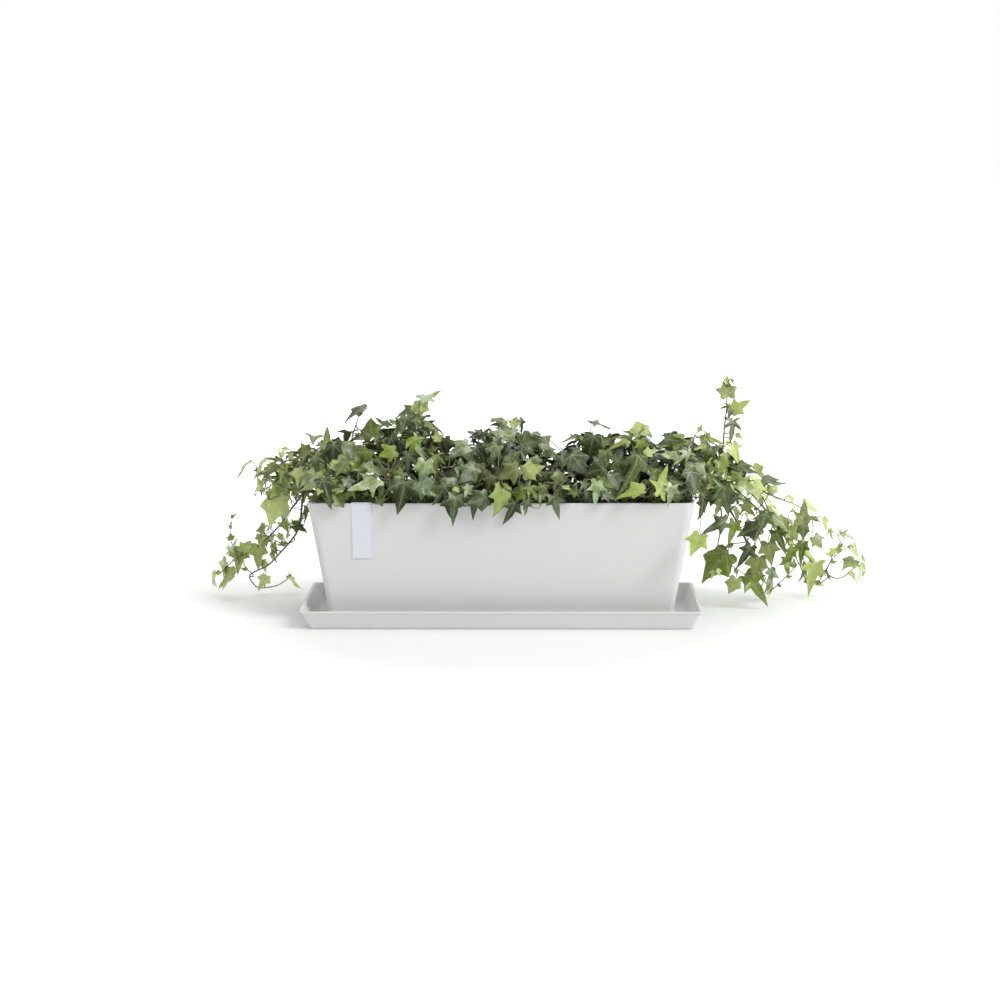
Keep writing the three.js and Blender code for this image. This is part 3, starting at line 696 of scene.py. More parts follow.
def make_soil_block():
    inset = POT["wall"] + GAP
    top = POT["height"] - SOIL["below"]
    loops = inside_foot(GAP)[1:]
    loops += [pot_loop(mix(POT["floor"] + 12, top, k / 8), inset) for k in range(9)]
    crown = SOIL["crown"]
    loops += [
        pot_loop(top + crown * math.sin(a), inset + SOIL["shoulder"] * (1 - math.cos(a)))
        for a in sweep(10, 90, 6)
    ]
    block = loft("soil_smooth", loops, EARTH)
    work = bmesh.new()
    work.from_mesh(block.data)
    lid = [f for f in work.faces if len(f.verts) > 4]
    bmesh.ops.triangulate(work, faces=lid)
    for _ in range(6):
        long_edges = [e for e in work.edges if e.calc_length() > LONGEST_EDGE]
        bmesh.ops.subdivide_edges(work, edges=long_edges, cuts=1, use_grid_fill=True)
        bmesh.ops.triangulate(work, faces=[f for f in work.faces if len(f.verts) > 4])
    work.normal_update()
    for v in work.verts:
        rough = noise.fractal(v.co * LUMPS, 1.0, 2.0, 4)
        if v.co.z > (SOIL_TOP - 1) * MM:
            v.co.z += (1.6 * rough - 1.2) * MM
        else:
            v.co -= v.normal * (0.5 + 0.5 * max(0, rough)) * MM
    work.to_mesh(block.data)
    work.free()
    return block


def make_crumb():
    """One crumb of soil, a knobbly little lump."""
    work = bmesh.new()
    bmesh.ops.create_icosphere(work, subdivisions=1, radius=1.0)
    for v in work.verts:
        v.co *= 1 + 0.45 * noise.noise(v.co * 2.3)
    mesh = as_mesh(work, "crumb")
    mesh.materials.append(EARTH)
    return add_object("crumb", mesh)


def geometry_tree(name, inputs):
    """A geometry node tree with a Geometry in and out and its own named inputs."""
    shape = ("Geometry", "Geometry")
    return node_group("GeometryNodeTree", name, [(*shape, None), *inputs], [shape])


def named(tree, name, kind):
    return put(tree, "GeometryNodeInputNamedAttribute", {"data_type": kind}, {"Name": name}).outputs[0]


def send_out(tree, geometry, material, out):
    """Makes the instances real and gives them their material."""
    real = made(tree, "GeometryNodeRealizeInstances", geometry=geometry)
    clad = made(tree, "GeometryNodeSetMaterial", geometry=real, material=material)
    tree.links.new(clad, out[0])
    return tree


def grow_with(obj, tree, **values):
    """Gives an object the tree as a modifier, its inputs set by name."""
    modifier = obj.modifiers.new(tree.name, "NODES")
    modifier.node_group = tree
    for item in tree.interface.items_tree:
        key = item.name.replace(" ", "_").lower()
        if item.in_out == "INPUT" and key in values:
            modifier[item.identifier] = values[key]


FULL_TURN = 6.3  # in radians


def crumbs_tree():
    """Strews crumbs of several sizes over the faces that look up, and joins them to the block."""
    tree, given, out = geometry_tree("crumbs", [
        ("Crumb", "Object", None), ("Density", "Float", 22000.0), ("Smallest", "Float", 0.0008),
        ("Largest", "Float", 0.0032), ("Seed", "Int", 4), ("Material", "Material", None)])
    upward = split_up(tree, made(tree, "GeometryNodeInputNormal"))[2]
    height = split_up(tree, made(tree, "GeometryNodeInputPosition"))[2]
    looks_up = sum_up(tree, "GREATER_THAN", upward, 0.4)
    top = times(tree, looks_up, sum_up(tree, "GREATER_THAN", height, 0.15))
    points = made(tree, "GeometryNodeDistributePointsOnFaces", mesh=given["Geometry"], selection=top,
                  density=given["Density"], seed=given["Seed"])
    size = put(tree, "FunctionNodeRandomValue", {"data_type": "FLOAT"},
               {2: given["Smallest"], 3: given["Largest"], "Seed": given["Seed"]}).outputs[1]
    turn = put(tree, "FunctionNodeRandomValue", {"data_type": "FLOAT_VECTOR"},
               {1: (FULL_TURN, FULL_TURN, FULL_TURN)}).outputs[0]
    crumb = put(tree, "GeometryNodeObjectInfo", None, {"Object": given["Crumb"]}).outputs["Geometry"]
    strewn = made(tree, "GeometryNodeInstanceOnPoints", points=points, instance=crumb, rotation=turn,
                  scale=size)
    both = put(tree, "GeometryNodeJoinGeometry")
    tree.links.new(strewn, both.inputs[0])
    tree.links.new(given["Geometry"], both.inputs[0])
    return send_out(tree, both.outputs[0], given["Material"], out)


def make_soil():
    block = make_soil_block()
    crumb = make_crumb()
    grow_with(block, crumbs_tree(), crumb=crumb, material=EARTH)
    soil = settle(block, "soil_crumbly")
    bpy.data.objects.remove(crumb)
    return soil


POT_PIECE = make_pot()
SAUCER_PIECE = make_saucer()
TAG_PIECE = make_tag()
SOIL_PIECE = make_soil()


# Where the vines grow

def over(along, across, up):
    """A place above the pot: shares of half its length and depth, and millimetres above the rim."""
    return Vector((along * POT["length"] / 2, across * POT["depth"] / 2, RIM + up))


def past(out, back, share):
    """A place past an end of the pot: millimetres out from the rim (minus on the left), back from the middle,
    and a share of the rim's height."""
    return Vector((out + math.copysign(POT["length"] / 2, out), back, RIM * share))


def rooted(along, across):
    return over(along, across, -SOIL["below"])


ROUTES = dict(
    front=[
        [rooted(-0.86, -0.47), over(-0.88, -0.73, 24), over(-0.91, -1.02, 31), over(-0.92, -1.14, 22)],
        [rooted(-0.58, -0.52), over(-0.57, -0.73, 28), over(-0.57, -0.96, 36), over(-0.56, -1.13, 24)],
        [rooted(-0.32, -0.5), over(-0.29, -0.7, 24), over(-0.26, -0.96, 30), over(-0.24, -1.13, 22)],
        [rooted(-0.05, -0.52), over(-0.03, -0.75, 30), over(0, -0.96, 36), over(0.01, -1.13, 24)],
        [rooted(0.22, -0.5), over(0.25, -0.7, 22), over(0.29, -0.92, 28), over(0.32, -1.07, 24)],
        [rooted(0.49, -0.52), over(0.49, -0.73, 28), over(0.5, -0.84, 40), over(0.49, -0.95, 34)],
        [rooted(0.76, -0.5), over(0.78, -0.73, 28), over(0.81, -0.84, 38), over(0.83, -0.95, 32)],
    ],
    top=[
        [rooted(-0.73, 0.05), over(-0.77, 0.05, 40), over(-0.79, 0.02, 78), over(-0.75, -0.05, 112)],
        [rooted(-0.53, -0.02), over(-0.5, -0.05, 48), over(-0.46, -0.09, 88), over(-0.43, -0.09, 120)],
        [rooted(-0.32, 0.02), over(-0.34, -0.07, 34), over(-0.31, -0.14, 66)],
        [rooted(-0.09, -0.02), over(-0.07, -0.05, 42), over(-0.03, -0.09, 76), over(0.01, -0.12, 100)],
        [rooted(0.2, 0), over(0.17, -0.07, 32), over(0.2, -0.14, 62)],
        [rooted(0.41, -0.05), over(0.44, -0.09, 44), over(0.47, -0.12, 82)],
        [rooted(0.65, 0), over(0.68, -0.05, 46), over(0.73, -0.09, 90)],
        [rooted(0.83, -0.07), over(0.87, -0.09, 36), over(0.92, -0.09, 72)],
    ],
    back=[
        [rooted(-0.79, 0.49), over(-0.82, 0.73, 28), over(-0.84, 1.04, 36), over(-0.86, 1.22, 22)],
        [rooted(-0.41, 0.52), over(-0.41, 0.73, 32), over(-0.39, 1, 40), over(-0.38, 1.22, 24)],
        [rooted(-0.03, 0.52), over(-0.01, 0.73, 30), over(0.01, 1, 38), over(0.03, 1.24, 22)],
        [rooted(0.36, 0.52), over(0.38, 0.73, 32), over(0.39, 1, 38), over(0.4, 1.22, 24)],
        [rooted(0.73, 0.49), over(0.76, 0.73, 30), over(0.79, 1, 36), over(0.81, 1.23, 22)],
    ],
    left=[
        [rooted(-0.93, -0.26), over(-1, -0.31, 39), past(-29, -26, 1.29), past(-55, -22, 1.2),
         past(-71, -18, 1.07)],
        [rooted(-0.94, 0), over(-1, 0, 15), past(-23, -2, 1.02), past(-47, -8, 1.07),
         past(-75, -12, 1.18)],
    ],
    left_trailing=[
        [rooted(-0.93, 0.24), over(-1, 0.24, 19), past(-17, 22, 0.96), past(-24, 30, 0.7),
         past(-43, 46, 0.54), past(-79, 66, 0.33), past(-109, 92, 0.22), past(-105, 128, 0.08),
         past(-77, 146, 0.06), past(-59, 142, 0.13)],
        [rooted(-0.92, 0.47), over(-1, 0.54, 21), past(-25, 54, 0.92), past(-59, 68, 0.67),
         past(-97, 84, 0.46), past(-133, 102, 0.34), past(-161, 120, 0.19)],
    ],
    right_trailing=[
        [rooted(0.92, -0.33), over(1, -0.42, 29), past(25, -40, 1.11), past(41, -38, 0.92),
         past(39, -30, 0.63), past(37, -18, 0.4)],
        [rooted(0.94, -0.09), past(5, -10, 1.21), past(41, -8, 1.25), past(77, 0, 1.14),
         past(109, 12, 0.92), past(123, 24, 0.7)],
        [rooted(0.93, 0.14), past(5, 12, 1.11), past(37, 12, 1.01), past(71, 20, 0.73),
         past(97, 40, 0.45), past(121, 66, 0.19), past(129, 84, 0.09)],
        [rooted(0.92, 0.35), past(5, 34, 1.17), past(51, 38, 1.07), past(105, 44, 0.82),
         past(157, 56, 0.54), past(199, 72, 0.32), past(233, 88, 0.2), past(261, 104, 0.27)],
        [rooted(0.89, 0.59), over(1, 0.71, 25), past(39, 72, 0.99), past(77, 84, 0.69),
         past(103, 96, 0.39), past(117, 108, 0.19)],
        [rooted(0.83, 0.35), over(0.95, 0.66, 39), past(37, 58, 1.2), past(91, 72, 0.96),
         past(139, 88, 0.64), past(171, 104, 0.35), past(189, 118, 0.14)],
        [rooted(0.84, 0.14), over(0.98, 0.28, 49), past(45, 26, 1.23), past(109, 26, 0.99),
         past(161, 28, 0.86), past(183, 30, 0.77)],
    ],
    shoot=[
        [rooted(0.95, -0.24), past(9, -20, 1.13), past(35, 0, 1.17), past(45, 12, 1.31),
         past(51, 18, 1.62), past(53, 18, 1.85)],
    ],
)


STEP = 3.0  # between the places along a stem


def smooth_path(points):
    """A centripetal Catmull-Rom curve through the places, at even steps."""
    ends = [2 * points[0] - points[1], *points, 2 * points[-1] - points[-2]]
    fine = []
    for a, b, c, d in zip(ends, ends[1:], ends[2:], ends[3:]):
        t1 = math.sqrt((b - a).length)
        t2 = t1 + math.sqrt((c - b).length)
        t3 = t2 + math.sqrt((d - c).length)
        for k in range(24):
            t = mix(t1, t2, k / 24)
            p = a.lerp(b, t / t1)
            q = b.lerp(c, (t - t1) / (t2 - t1))
            r = c.lerp(d, (t - t2) / (t3 - t2))
            fine.append(p.lerp(q, t / t2).lerp(q.lerp(r, (t - t1) / (t3 - t1)), (t - t1) / (t2 - t1)))
    fine.append(points[-1].copy())
    path, travelled, due = [fine[0]], 0.0, STEP
    for a, b in zip(fine, fine[1:]):
        length = (b - a).length
        while length and travelled + length >= due:
            path.append(a.lerp(b, (due - travelled) / length))
            due += STEP
        travelled += length
    if (path[-1] - fine[-1]).length > STEP / 3:
        path.append(fine[-1])
    return path


def wander(path):
    """Small bends that a grown stem has, none where it passes the rim."""
    bent = []
    for k, p in enumerate(path):
        off_rim = p.z > RIM + 14 or abs(p.x) > POT["length"] / 2 + 12
        free = min(1.0, k / 12) * (1.0 if off_rim else 0.2)
        bends = [noise.noise(p * 0.045 + Vector(own)) for own in ((0, 0, 0), (9, 0, 0), (0, 9, 0))]
        bent.append(p + WANDER * free * Vector(bends))
    return bent


WANDER = 1.5
ROOT_DEEP, ROOT_NECK = 8, 6  # how far a stem stands upright below and above the soil
FIRST_JOINT = 6  # what looks for the nearest stem finds it from this place on
TWIG_JOINTS = 6  # so many places apart, small leaves grow along a twig
VINES = {}
for side, rows in ROUTES.items():
    for number, (start, *rest) in enumerate(rows, 1):
        neck = start + Vector((0, 0, ROOT_NECK))
        path = wander(smooth_path([neck, *rest]))
        VINES[f"ivy_{side}_{number}"] = [start - Vector((0, 0, ROOT_DEEP)), start, *path]


# Thin side twigs, nearly bare, each from the nearest stem

TWIGS = [
    [(-287, 20, 147), (-312, 30, 125), (-325, 35, 106), (-338, 40, 113), (-348, 40, 120)],
    [(-308, 40, 105), (-320, 40, 100), (-340, 45, 104), (-346, 45, 115), (-359, 50, 108), (-366, 50, 95)],
    [(-331, 55, 84), (-341, 52, 90), (-347, 50, 103), (-354, 55, 90), (-360, 55, 77)],
    [(-380, 100, 37), (-392, 105, 48), (-402, 110, 63), (-412, 110, 68), (-419, 108, 84)],
    [(-401, 100, 52), (-406, 100, 74), (-413, 98, 92), (-410, 95, 129)],
    [(478, 90, 26), (495, 90, 60), (498, 88, 71), (509, 85, 85), (521, 85, 87)],
    [(497, 90, 64), (513, 92, 78), (525, 95, 85)],
    [(424, 35, 99), (423, 30, 146), (430, 30, 155)],
    [(421, 95, 28), (439, 98, 46), (451, 100, 58), (461, 102, 43)],
    [(332, 40, 95), (338, 45, 72), (352, 50, 57), (367, 52, 49)],
    [(371, 60, 77), (380, 62, 64), (388, 64, 54)],
    [(373, 20, 151), (382, 20, 163), (396, 18, 184)],
    [(273, -10, 245), (279, -5, 266), (287, -5, 275), (296, -5, 273)],
    [(-314, -10, 219), (-319, -12, 238), (-322, -12, 248), (-313, -12, 251), (-301, -12, 245)],
    [(-337, -10, 174), (-342, -10, 192), (-344, -8, 206), (-346, -8, 214)],
    [(290, -80, 203), (284, -103, 190), (281, -110, 168), (279, -113, 150)],
    [(39, -88, 188), (37, -92, 183), (43, -96, 180), (52, -97, 178), (57, -96, 181), (56, -92, 185)],
]
STEMS = list(VINES.items())


def nearest_stem(place):
    """The vine that comes nearest with a stem or a twig, and the place where it does."""
    nearest = [
        (vine, min(path[FIRST_JOINT:], key=lambda p: (p - place).length_squared)) for vine, path in STEMS
    ]
    return min(nearest, key=lambda found: (found[1] - place).length)


def twig_path(places):
    vine, here = nearest_stem(Vector(places[0]))
    return vine, smooth_path([here, *(Vector(p) for p in places)])


TWIG_PATHS = [twig_path(places) for places in TWIGS]
STEMS += TWIG_PATHS


# Where no leaf may be: under the rim, so that the planting lifts out; in the soil or the pot's wall; over
# the saucer, so that the pot lifts off; below the table; and in front of the tag.

def inside(p, half_length, half_depth, corner):
    x, y = abs(p.x) - (half_length - corner), abs(p.y) - (half_depth - corner)
    if x <= 0 or y <= 0:
        return x <= corner and y <= corner
    return math.hypot(x, y) <= corner


NEAT_FROM = 95  # right of this the front's leaves keep up at the rim, but for those in the lists


def over_neat_rim(p):
    in_front = p.x > NEAT_FROM and p.y < -POT["depth"] / 2 and p.z < RIM - 2
    return in_front and inside(p, POT["length"] / 2, POT["depth"], POT["rim_corner"])


ROOM = 1.0  # round the pot, over the saucer and over the table
TAG_ROOM = 2  # beside the tag
BEFORE_TAG = -125  # leaves may be in front of the tag beyond this


def forbidden(p):
    if p.z < ROOM:
        return True
    saucer = SAUCER["length"] / 2 + ROOM, SAUCER["depth"] / 2 + ROOM, 10
    if p.z < SAUCER["height"] + ROOM and inside(p, *saucer):
        return True
    pot = POT["length"] / 2 + ROOM, POT["depth"] / 2 + ROOM, POT["rim_corner"] + ROOM
    if p.z < RIM + ROOM and inside(p, *pot):
        wall = POT["wall"] + 3
        in_mouth = inside(p, POT["length"] / 2 - wall, POT["depth"] / 2 - wall, 9)
        return not (in_mouth and p.z > SOIL_TOP + SOIL["crown"] + 2)
    before_tag = BEFORE_TAG < p.y < TAG_ROOM - POT["depth"] / 2
    return before_tag and p.z < RIM + 4 and abs(p.x - TAG["centre"]) < TAG["width"] / 2 + TAG_ROOM


LOWEST, HIGHEST = cad_bounds
BOX_MARGIN = 0.006  # in metres


def out_of_box(p):
    """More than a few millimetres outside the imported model's box."""
    return any(not LOWEST[k] - BOX_MARGIN < p[k] * MM < HIGHEST[k] + BOX_MARGIN for k in range(3))


# The leaf: five lobes, the middle one long and pointed. Places go along the leaf from its stalk and across
# it, in shares of its length.

OUTLINES = {
    "broad": [(-0.03, 0.03), (-0.14, 0.11), (-0.18, 0.24), (-0.1, 0.39), (0.05, 0.35), (0.22, 0.42),
              (0.45, 0.57), (0.47, 0.41), (0.48, 0.27), (0.65, 0.21), (0.84, 0.11)],
    "long": [(-0.02, 0.03), (-0.11, 0.09), (-0.15, 0.19), (-0.1, 0.31), (0.03, 0.24), (0.17, 0.28),
              (0.39, 0.47),
             (0.37, 0.3), (0.37, 0.17), (0.58, 0.15), (0.81, 0.08)],
    "star": [(-0.01, 0.02), (-0.09, 0.08), (-0.14, 0.2), (-0.14, 0.38), (0.05, 0.14), (0.2, 0.31),
              (0.45, 0.47),
             (0.36, 0.26), (0.28, 0.11), (0.52, 0.13), (0.8, 0.08)],
    "round": [(-0.04, 0.03), (-0.17, 0.14), (-0.17, 0.3), (-0.05, 0.42), (0.1, 0.38), (0.26, 0.48),
              (0.43, 0.55), (0.5, 0.42), (0.56, 0.3), (0.71, 0.2), (0.87, 0.09)],
    "young": [(-0.02, 0.02), (-0.08, 0.08), (-0.09, 0.17), (-0.04, 0.27), (0.08, 0.27), (0.2, 0.34),
              (0.38, 0.44), (0.41, 0.3), (0.44, 0.19), (0.63, 0.15), (0.84, 0.08)],
}
BASE_TIP, SIDE_TIP = 3, 6  # the outline's places that are the tips of its base and side lobes
MIDRIB = (0.12, 0.3, 0.5, 0.72)

# How each shape of leaf is bent: folded along its middle, drooping to its tip, curled at its sides, twisted
SHAPES = [
    dict(outline="broad", fold=0.34, droop=0.46, curl=0.3, twist=0.16, wave=0.03),
    dict(outline="broad", fold=0.6, droop=0.2, curl=0.75, twist=-0.24, wave=0.04),
    dict(outline="long", fold=0.45, droop=0.6, curl=0.2, twist=0.24, wave=0.03),
    dict(outline="long", fold=0.3, droop=-0.24, curl=0.6, twist=-0.18, wave=0.04),
    dict(outline="star", fold=0.36, droop=0.5, curl=0.3, twist=0.12, wave=0.04),
    dict(outline="round", fold=0.45, droop=0.5, curl=0.7, twist=0.2, wave=0.035),
    dict(outline="young", fold=0.45, droop=0.2, curl=0.15, twist=0.15, wave=0.025),
    dict(outline="young", fold=0.6, droop=-0.18, curl=0.0, twist=-0.08, wave=0.01),
]
BROAD_LEAF, BROAD_CURLED, LONG_LEAF, LONG_RAISED, STAR_LEAF, ROUND_LEAF, YOUNG_LEAF, BUD = range(8)


VEIN_SUNK = 0.02  # how deep the veins lie in the blade, in leaf lengths


def blade_rise(shape, u, v, on_vein=False):
    """How far a place on the blade stands off its plane."""
    fold = shape["fold"] * abs(v) - shape["curl"] * v * v * 1.6
    droop = -shape["droop"] * max(u, 0.0) ** 2 - 0.5 * abs(shape["droop"]) * min(u, 0.0) ** 2
    wave = shape["wave"] * math.sin(9 * u + 4 * v)
    return fold + droop + shape["twist"] * u * v + wave - (VEIN_SUNK if on_vein else 0.0)


def blade_points(outline):
    """The places round the blade, and those inside it, which lie on its veins."""
    half = OUTLINES[outline]
    rim = [(0.0, 0.0), *half, (1.03, 0.0), *[(u, -v) for u, v in reversed(half)]]
    inner = [(u, 0.0) for u in MIDRIB]
    for tip, shares in ((half[SIDE_TIP], (0.36, 0.7)), (half[BASE_TIP], (0.55,))):
        inner += [(tip[0] * share, side * tip[1] * share) for share in shares for side in (1, -1)]
    return rim, inner


def halfway(places, pair):
    return tuple((places[pair[0]][axis] + places[pair[1]][axis]) / 2 for axis in (0, 1))


def blade_triangles(rim, inner):
    """Triangles over the blade, counterclockwise from above, and the pairs of rim places that have a point
    halfway. No edge may run straight from rim to rim, because the leaf's two sides would touch along it."""
    count, pairs = len(rim), []
    edges = [(k, (k + 1) % count) for k in range(count)]
    while True:
        flat = [Vector(p) for p in rim + inner + [halfway(rim, pair) for pair in pairs]]
        made = delaunay_2d_cdt(flat, edges, [list(range(count))], 1, 1e-6)
        origin = [group[0] for group in made[3]]
        triangles, crossing = [], set()
        for face in made[2]:
            a, b, c = (origin[k] for k in face)
            if (flat[b] - flat[a]).cross(flat[c] - flat[a]) < 0:
                b, c = c, b
            triangles.append((a, b, c))
            for pair in ((a, b), (b, c), (c, a)):
                low, high = sorted(pair)
                if high < count and high - low not in (1, count - 1):
                    crossing.add((low, high))
        if not crossing:
            return triangles, pairs
        pairs += sorted(crossing)


LEAF_THICKNESS = 0.02


def make_leaf_shape(name, shape):
    """A closed leaf, one leaf length long, its stalk end at the origin and its tip along +X. Its "blade"
    values are the same place on the broad leaf, where the veins are drawn, and 1 on the underside."""
    rim, inner = blade_points(shape["outline"])
    triangles, pairs = blade_triangles(rim, inner)
    broad_rim, broad_inner = blade_points("broad")
    drawn = broad_rim + broad_inner + [halfway(broad_rim, pair) for pair in pairs]
    veined = len(inner)
    inner += [halfway(rim, pair) for pair in pairs]
    n, m = len(rim), len(inner)
    edge = [(u, v, blade_rise(shape, u, v)) for u, v in rim]
    middle = [(u, v, blade_rise(shape, u, v, k < veined)) for k, (u, v) in enumerate(inner)]
    half = [LEAF_THICKNESS / (2 if k < veined else 4) for k in range(m)]
    upper = [(u, v, z + more) for (u, v, z), more in zip(middle, half)]
    lower = [(u, v, z - more) for (u, v, z), more in zip(middle, half)]
    under = [tuple(k if k < n else k + m for k in (a, c, b)) for a, b, c in triangles]
    mesh = bpy.data.meshes.new(name)
    mesh.from_pydata(edge + upper + lower, [], triangles + under)
    blade = mesh.attributes.new("blade", "FLOAT_VECTOR", "CORNER")
    for k, polygon in enumerate(mesh.polygons):
        for corner in polygon.loop_indices:
            vertex = mesh.loops[corner].vertex_index
            u, v = drawn[vertex if vertex < n + m else vertex - m]
            blade.data[corner].vector = (u, v, float(k >= len(triangles)))
    ring = {frozenset((k, (k + 1) % n)) for k in range(n)}
    sharp = mesh.attributes.new("sharp_edge", "BOOLEAN", "EDGE")
    sharp.data.foreach_set("value", [frozenset(e.vertices) in ring for e in mesh.edges])
    mesh.materials.append(LEAF)
    shade_smooth(mesh)
    return mesh, [Vector(p) for p in edge + upper], triangles


LEAF_FOLDER = bpy.data.collections.new("leaf_shapes")
TRIAL = []  # each shape's places and triangles, to try a leaf before it is kept
for number, shape in enumerate(SHAPES):
    mesh, places, triangles = make_leaf_shape(f"leaf_shape_{number}", shape)
    LEAF_FOLDER.objects.link(bpy.data.objects.new(mesh.name, mesh))
    TRIAL.append((places, triangles))

dice = random.Random(7)


def around(amount):
    return dice.uniform(-amount, amount)


def scatter(x, y, z):
    """A random step, at most this far along each axis."""
    return Vector((around(x), around(y), around(z)))


def leaf_frame(tip, face):
    """The leaf's own axes: towards the tip, across, and the way it faces."""
    face = (face - face.project(tip)).normalized()
    return Matrix((tip, face.cross(tip), face)).transposed()


kept_leaves = []
BLADE_MIDDLE = 0.4  # where a blade's middle is, in shares of its length from the stalk
NEIGHBOURS = 0.62  # leaves whose middles are nearer than this share of both lengths are tried together


def try_leaf(leaf, strict=True):
    """Whether the leaf has room. It is kept clear of the pot, and of the leaves already there."""
    places, triangles = TRIAL[leaf["shape"]]
    turn = leaf_frame(leaf["tip"], leaf["face"])
    world = [leaf["base"] + turn @ p * leaf["length"] for p in places]
    if any(forbidden(p) or out_of_box(p) for p in world):
        return False
    if "seen" not in leaf and any(over_neat_rim(p) for p in world):
        return False
    leaf["middle"] = leaf["base"] + leaf["tip"] * leaf["length"] * BLADE_MIDDLE
    leaf["tree"] = BVHTree.FromPolygons(world, triangles)
    if not strict:
        return True
    near = [o for o in kept_leaves
            if (o["middle"] - leaf["middle"]).length < NEIGHBOURS * (o["length"] + leaf["length"])]
    return not any(leaf["tree"].overlap(o["tree"]) for o in near)


STALK_BEND = 12  # a stalk meets its leaf along no more than this


def stalk_path(start, base, tip, outwards):
    """A leaf stalk: it leaves the stem outwards, bends, and meets the leaf along its blade."""
    reach = (base - start).length
    first = start + outwards * reach * 0.4
    last = base - (tip * 0.8 + Vector((0, 0, -0.2))).normalized() * min(reach * 0.4, STALK_BEND)
    points = []
    for k in range(9):
        t = k / 8
        a, b, c = start.lerp(first, t), first.lerp(last, t), last.lerp(base, t)
        points.append(a.lerp(b, t).lerp(b.lerp(c, t), t))
    return points


def keep(leaf, vine, start, outwards):
    leaf["vine"] = vine
    leaf["stalk"] = stalk_path(start, leaf["base"], leaf["tip"], outwards)
    kept_leaves.append(leaf)


def heart(p):
    """The place nearest to p on a line along the middle of the soil."""
    half = 0.75 * POT["length"] / 2
    return Vector((max(-half, min(half, p.x)), 0, SOIL_TOP))


# Leaves that the picture shows clearly: the middle of the blade (x, y, z), its length, the way its tip
# points on the picture in degrees, the way it faces, and its kind

LEFT_LEAVES = [
    (-209, 0, 304, 34, 195, "level", "dark"),
    (-116, 0, 313, 26, 60, "front", "light"),
    (-135, 10, 304, 26, 185, "up", "mid"),
    (-140, -5, 284, 31, 250, "front", "dark"),
    (-189, -10, 280, 31, 100, "front", "mid"),
    (-114, -5, 286, 29, 330, "front", "mid"),
    (-252, -15, 261, 31, 95, "front", "light"),
    (-289, 10, 239, 29, 200, "left", "light"),
    (-310, 20, 230, 19, 250, "left", "light"),
    (-321, 10, 215, 26, 235, "left", "light"),
    (-358, 0, 192, 33, 205, "left", "mid"),
    (-330, -10, 164, 35, 255, "front", "light"),
    (-314, -20, 198, 26, 265, "left", "mid"),
    (-298, -30, 188, 28, 230, "left", "dark"),
    (-278, -50, 213, 31, 215, "front", "silver"),
    (-245, -92, 200, 44, 285, "front", "dark"),
    (-192, -72, 207, 44, 200, "front", "silver"),
    (-138, -92, 200, 37, 255, "front", "dark"),
    (-104, -82, 204, 35, 320, "front", "dark"),
    (-177, -60, 229, 28, 10, "up", "silver"),
    (-243, -30, 246, 28, 270, "front", "dark"),
    (-217, -20, 249, 31, 0, "front", "silver"),
    (-227, -50, 227, 28, 250, "front", "dark"),
    (-71, -95, 181, 28, 265, "front", "dark"),
    (-171, 0, 285, 22, 160, "up", "mid"),
    (-153, -20, 257, 26, 300, "front", "dark"),
    (-126, -20, 259, 26, 240, "front", "mid"),
    (-94, 0, 266, 19, 90, "front", "light"),
    (-132, -50, 235, 28, 270, "front", "dark"),
    (-161, -40, 248, 24, 200, "front", "mid"),
    (-92, -50, 235, 28, 280, "front", "mid"),
    (-110, -55, 226, 30, 260, "front", "silver"),
    (-147, -70, 216, 26, 230, "front", "mid"),
    (-264, -40, 233, 26, 270, "front", "dark"),
    (-295, 0, 132, 22, 340, "up", "dark"),
    (-286, 20, 149, 27, 280, "left", "dark"),
    (-318, 10, 146, 22, 260, "left", "silver"),
    (-321, 20, 129, 17, 320, "up", "mid"),
    (-347, 40, 128, 24, 215, "left", "dark"),
    (-362, 50, 103, 19, 280, "front", "light"),
    (-409, 90, 88, 27, 85, "left", "silver"),
    (-402, 100, 64, 37, 265, "front", "light"),
    (-390, 100, 83, 22, 60, "front", "mid"),
    (-370, 80, 74, 37, 270, "front", "light"),
    (-361, 80, 58, 20, 280, "front", "light"),
    (-432, 120, 43, 35, 235, "left", "silver"),
    (-426, 120, 25, 45, 215, "left", "light"),
    (-369, 130, 21, 23, 250, "front", "light"),
    (-345, 60, 81, 11, 200, "front", "dark"),
]
